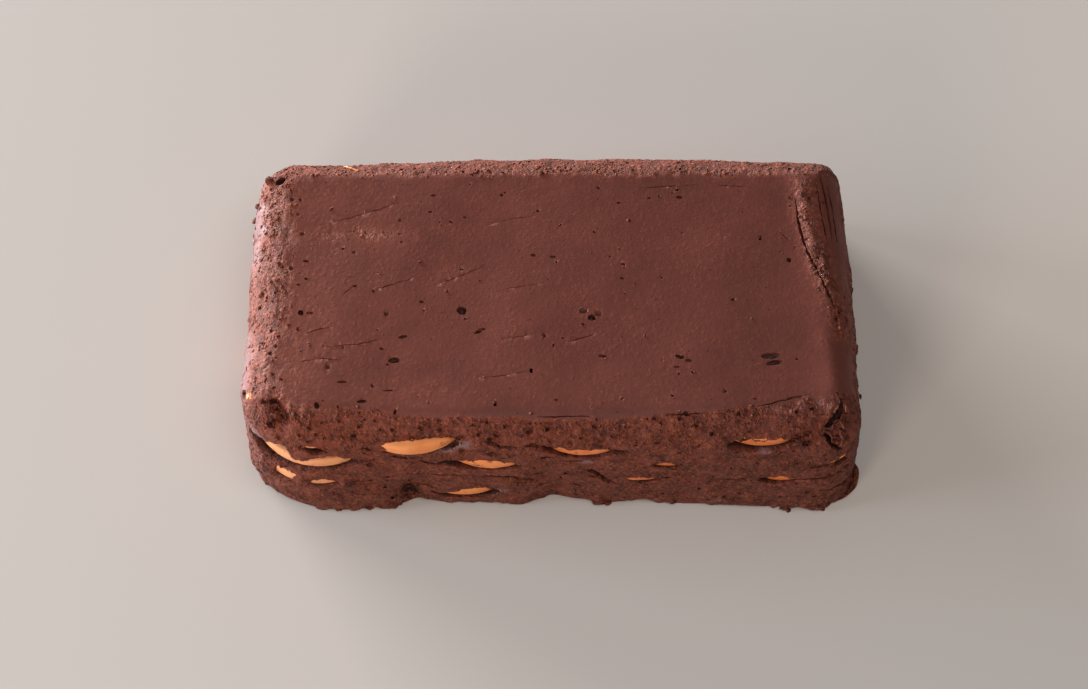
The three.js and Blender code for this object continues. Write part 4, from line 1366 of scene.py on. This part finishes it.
def dragged(tree, place):
    """Coordinates drawn out along the strokes of the mould's liner."""
    drawn = tree.nodes.new("ShaderNodeMapping")
    drawn.inputs["Rotation"].default_value = (0.0, 0.0, DRAG_TURN)
    drawn.inputs["Scale"].default_value = DRAG_SCALE
    tree.links.new(place, drawn.inputs["Vector"])
    return drawn.outputs["Vector"]


def pores(tree, place, name):
    """1 in the middle of small holes of one of the kinds that are named above."""
    scale, radius, share = PORES[name]
    cells = texture(tree, "ShaderNodeTexVoronoi", place, Scale=scale)
    hole = rising(tree, cells.outputs["Distance"], radius, radius * 0.45)
    picked = rising(tree, cells.outputs["Color"], share + 0.01, share - 0.01)
    return times(tree, hole, picked)


def all_holes(tree, place, torn):
    """Pores of the torn cream, pinholes everywhere, and drag marks at the left end."""
    uneven = shaken(tree, place, PORE_SHAKE)
    holes = maths(tree, "MAXIMUM", pores(tree, uneven, "large"), pores(tree, uneven, "small"))
    holes = maths(tree, "MAXIMUM", times(tree, holes, torn), pores(tree, place, "pinhole"))
    drags = pores(tree, dragged(tree, place), "drag mark")
    drags = times(tree, drags, along(tree, place, "X", DRAGGED_LEFT))
    return maths(tree, "MAXIMUM", holes, times(tree, drags, DRAG_SHARE))


def chocolate(name, torn_shade):
    """Chocolate cream: cloudy where the mould pressed it smooth, grainy and porous where it is torn, with
    painted light and shade laid over its colour.
    """
    material, tree, shader, place = material_tree(name)
    rough, sleek, deep = [share_of(tree, share) for share in ("rough", "sleek", "deep")]
    torn = maths(tree, "MAXIMUM", maths(tree, "SUBTRACT", rough, sleek), 0.0)
    grain_height = clouds(tree, place, "grain")
    clumps = texture(tree, "ShaderNodeTexVoronoi", shaken(tree, place, CLUMP_SHAKE), Scale=CLUMPS)
    pick, far = clumps.outputs["Color"], clumps.outputs["Distance"]
    risen = times(tree, rising(tree, pick, 0.58, 0.7), rising(tree, far, 0.7, 0.15))
    marks = {
        # painted shade, growing towards the right end
        "right end": along(tree, place, "X", RIGHT_SHADE_RUN),
        # painted sheen, growing towards the left end
        "left end": along(tree, place, "X", LEFT_SHEEN_RUN),
        # the glossy spots also carry a painted sheen
        "pressed": sleek,
        # darker towards the foot, partly painted shade
        "foot": along(tree, place, "Z", FOOT_SHADE),
        # painted shade in the hollows of the fine relief
        "low grain": times(tree, rising(tree, grain_height, 0.5, 0.38), torn),
        "sunk clump": times(tree, rising(tree, pick, 0.4, 0.28), torn),
        # painted highlights on raised grains, crumb edges and clumps
        "high grain": times(tree, rising(tree, grain_height, 0.52, 0.64), torn),
        "speck": times(tree, rising(tree, clouds(tree, place, "specks"), 0.62, 0.7), rough),
        "risen clump": times(tree, risen, torn),
        # painted shade in pores, pinholes and drag marks
        "pore": all_holes(tree, place, torn),
        # painted shade in cuts and crevices
        "inside": deep,
    }
    shade = blended(tree, torn, ramp(tree, clouds(tree, place, "cream"), CLOUD_SHADES), torn_shade)
    for mark, (most, tint) in CREAM_TINTS.items():
        shade = blended(tree, times(tree, marks[mark], most), shade, tint)
    tree.links.new(shade, shader.inputs["Base Color"])
    gloss = maths(
        tree, "SUBTRACT", rising(tree, rough, 0.0, 1.0, *CREAM_GLOSS), times(tree, sleek, PRESSED_GLOSS))
    tree.links.new(gloss, shader.inputs["Roughness"])
    shader.inputs["Specular IOR Level"].default_value = CREAM_SPECULAR
    height = grain_height
    heights = {**marks, "risen clump": risen}
    for mark, amount in FINE_RELIEF.items():
        height = maths(tree, "ADD", height, times(tree, heights[mark], amount))
    least, most, distance = CREAM_BUMP
    strength = rising(tree, times(tree, torn, torn), 0.0, 1.0, least, most)
    tree.links.new(bump(tree, height, strength, distance), shader.inputs["Normal"])
    return material


def baked():
    """Baked dough, with stains of cream, and painted light that fades from the left end to the right."""
    material, tree, shader, place = material_tree("tea_biscuit")
    tone = ramp(tree, clouds(tree, place, "dough"), DOUGH_SHADES)
    # painted light: the rims paler at the left end, darker and more orange at the right
    painted_light = ramp(tree, along(tree, place, "X", PAINTED_LIGHT_RUN), PAINTED_LIGHT_SHADES)
    tone = blended(tree, PAINTED_LIGHT_SHARE, tone, painted_light)
    stained = rising(tree, clouds(tree, place, "stains"), 0.58, 0.72)
    tree.links.new(blended(tree, stained, tone, STAIN), shader.inputs["Base Color"])
    shader.inputs["Roughness"].default_value = BISCUIT_ROUGHNESS
    crumb = clouds(tree, place, "crumb")
    tree.links.new(bump(tree, crumb, *BISCUIT_BUMP), shader.inputs["Normal"])
    return material


def dress(piece, material):
    piece.data.materials.clear()
    piece.data.materials.append(material)


# ---- Stage -----------------------------------------------------------------------------------

# The camera, as the photograph was taken: it looks at AIM from DISTANCE, raised by PITCH,
# turned about Z by YAW and about its own line of sight by ROLL
AIM = Vector((-2.8, -0.5, 12.0))
DISTANCE = 791.0
PITCH = math.radians(63.25)
YAW = math.radians(-1.05)
ROLL = math.radians(0.83)
LENS = 72.8
SENSOR = 36.0

# Soft lights: place, width and height in metres, power, and tint
LIGHTS = {
    "low_window": ((-3.2, 3.2, 0.42), (2.8, 0.6), 600.0, (1.0, 0.96, 0.93)),
    "side_window": ((-2.2, 0.0, 0.5), (1.2, 0.7), 52.0, (0.78, 0.88, 1.0)),
    "front_lamp": ((-1.3, -2.2, 0.9), (0.9, 0.9), 31.0, (1.0, 0.87, 0.74)),
    "ceiling": ((0.6, -0.6, 2.7), (1.6, 1.6), 24.5, (1.0, 0.98, 0.96)),
}
# Light from all round: strength and tint
AROUND_LIGHT = (0.2, (1.0, 0.9, 0.84))
# The floor: half its width in metres, how far it lies below the cake, its shade and roughness
FLOOR = {"half": 3.0, "drop": 0.2, "shade": (196, 189, 184), "roughness": 0.7}


def add_camera():
    """The camera, turned as the named angles say."""
    camera = bpy.data.objects.new("camera", bpy.data.cameras.new("camera"))
    camera.data.sensor_width = SENSOR
    camera.data.lens = LENS
    camera.data.clip_start = 0.05
    cos_yaw, sin_yaw = math.cos(YAW), math.sin(YAW)
    level = Vector((cos_yaw, -sin_yaw, 0))
    ahead = Vector((sin_yaw, cos_yaw, 0))
    rise = ahead * math.sin(PITCH) + Vector((0, 0, math.cos(PITCH)))
    right = level * math.cos(ROLL) - rise * math.sin(ROLL)
    up = level * math.sin(ROLL) + rise * math.cos(ROLL)
    back = right.cross(up)
    spot = (AIM + back * DISTANCE) * MM
    turn = Matrix((right, up, back)).transposed()
    camera.matrix_world = Matrix.Translation(spot) @ turn.to_4x4()
    bpy.context.scene.collection.objects.link(camera)
    bpy.context.scene.camera = camera


def add_light(name, spot, size, power, tint):
    light = bpy.data.lights.new(name, "AREA")
    light.shape = "RECTANGLE"
    light.size, light.size_y = size
    light.energy = power
    light.color = tint
    lamp = bpy.data.objects.new(name, light)
    lamp.location = spot
    lamp.rotation_euler = (-Vector(spot)).to_track_quat("-Z", "Y").to_euler()
    bpy.context.scene.collection.objects.link(lamp)


def add_stage():
    mesh = bmesh.new()
    bmesh.ops.create_grid(mesh, x_segments=1, y_segments=1, size=FLOOR["half"])
    floor = as_object("floor", mesh)
    floor.location.z = -FLOOR["drop"] * MM
    material, _, shader, _ = material_tree("floor")
    shader.inputs["Base Color"].default_value = colour(*FLOOR["shade"])
    shader.inputs["Roughness"].default_value = FLOOR["roughness"]
    floor.data.materials.append(material)
    for name, (spot, size, power, tint) in LIGHTS.items():
        add_light(name, spot, size, power, tint)
    world = bpy.data.worlds.new("studio")
    world.use_nodes = True
    background = world.node_tree.nodes["Background"]
    strength, tint = AROUND_LIGHT
    background.inputs["Color"].default_value = (*tint, 1.0)
    background.inputs["Strength"].default_value = strength
    bpy.context.scene.world = world
    bpy.context.scene.view_settings.view_transform = "Standard"


# ---- The cake --------------------------------------------------------------------------------


def put_out(piece, material, node=None):
    """Gives a finished piece its material and its body, and lets it stand for a solid."""
    dress(piece, material)
    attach(piece, "root")
    if node:
        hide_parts(node)


# Crumbs of cream: how fine their shape is, then how they are strewn. "Most" is for each square
# millimetre, and the sizes are millimetres.
CRUMBS = {
    "fine_crumbs": (1, {"Most": 2.4, "Gap": 0.66, "Smallest": 0.4, "Largest": 1.2}, 11),
    "large_crumbs": (2, {"Most": 0.02, "Gap": 2.2, "Smallest": 0.9, "Largest": 2.0}, 23),
}
CRUMB_FLAT = 0.7
CRUMB_STRETCH = 1.3
CRUMB_SINK = -0.1


def crumb_share(skin):
    """Where crumbs lie: on the torn parts that face up or out, in patches, and most at the left end."""
    data = skin.data
    points = coordinates(data) / MM
    rough = np.array([item.value for item in data.attributes["rough"].data])
    patchy = smooth(0.4 + 0.9 * grain(points, 6.0, 2, 71.0))
    faces_out = smooth((directions(data)[:, 2] + 0.3) / 0.5)
    share = smooth((rough - 0.3) / 0.4) * patchy * faces_out * smooth((points[:, 2] - 1) / 3)
    return share * (0.5 + 0.5 * smooth((ROUGH_LEFT - points[:, 0]) / 8))


def crumbs(skin, loose):
    """Crumbs of cream over the skin, in two sizes."""
    share = crumb_share(skin)
    pieces = []
    for name, (fineness, sizes, seed) in CRUMBS.items():
        lengths = {word: value * MM for word, value in sizes.items()}
        lengths["Most"] = sizes["Most"] / MM**2
        shape = crumb_shape("crumb", fineness, CRUMB_FLAT)
        pieces.append(strew(
            strewing_tree(), skin, share, shape, name, **lengths, Sink=CRUMB_SINK * MM,
            Stretch=CRUMB_STRETCH, Seed=seed, Material=loose))
    return pieces


def main():
    cream = chocolate("chocolate_cream", TORN_CREAM)
    loose = chocolate("chocolate_crumbs", LOOSE_CREAM)
    biscuit = baked()
    block = cream_block()
    put_out(block, cream, "chocolate_cream")
    for piece in crumbs(block, loose):
        put_out(piece, loose)
    put_out(joined("lumps", [lump(*row) for row in LUMPS]), loose)
    put_out(base_flap(), cream)
    put_out(joined("biscuit_slivers", [lump(*row) for row in SLIVERS]), biscuit)
    for node in sorted(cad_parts):
        if node.startswith("biscuit_bit_"):
            put_out(broken_bit(node), biscuit, node)
        elif node.startswith("biscuit_"):
            put_out(fine_biscuit(node), biscuit, node)
    add_stage()
    add_camera()


main()
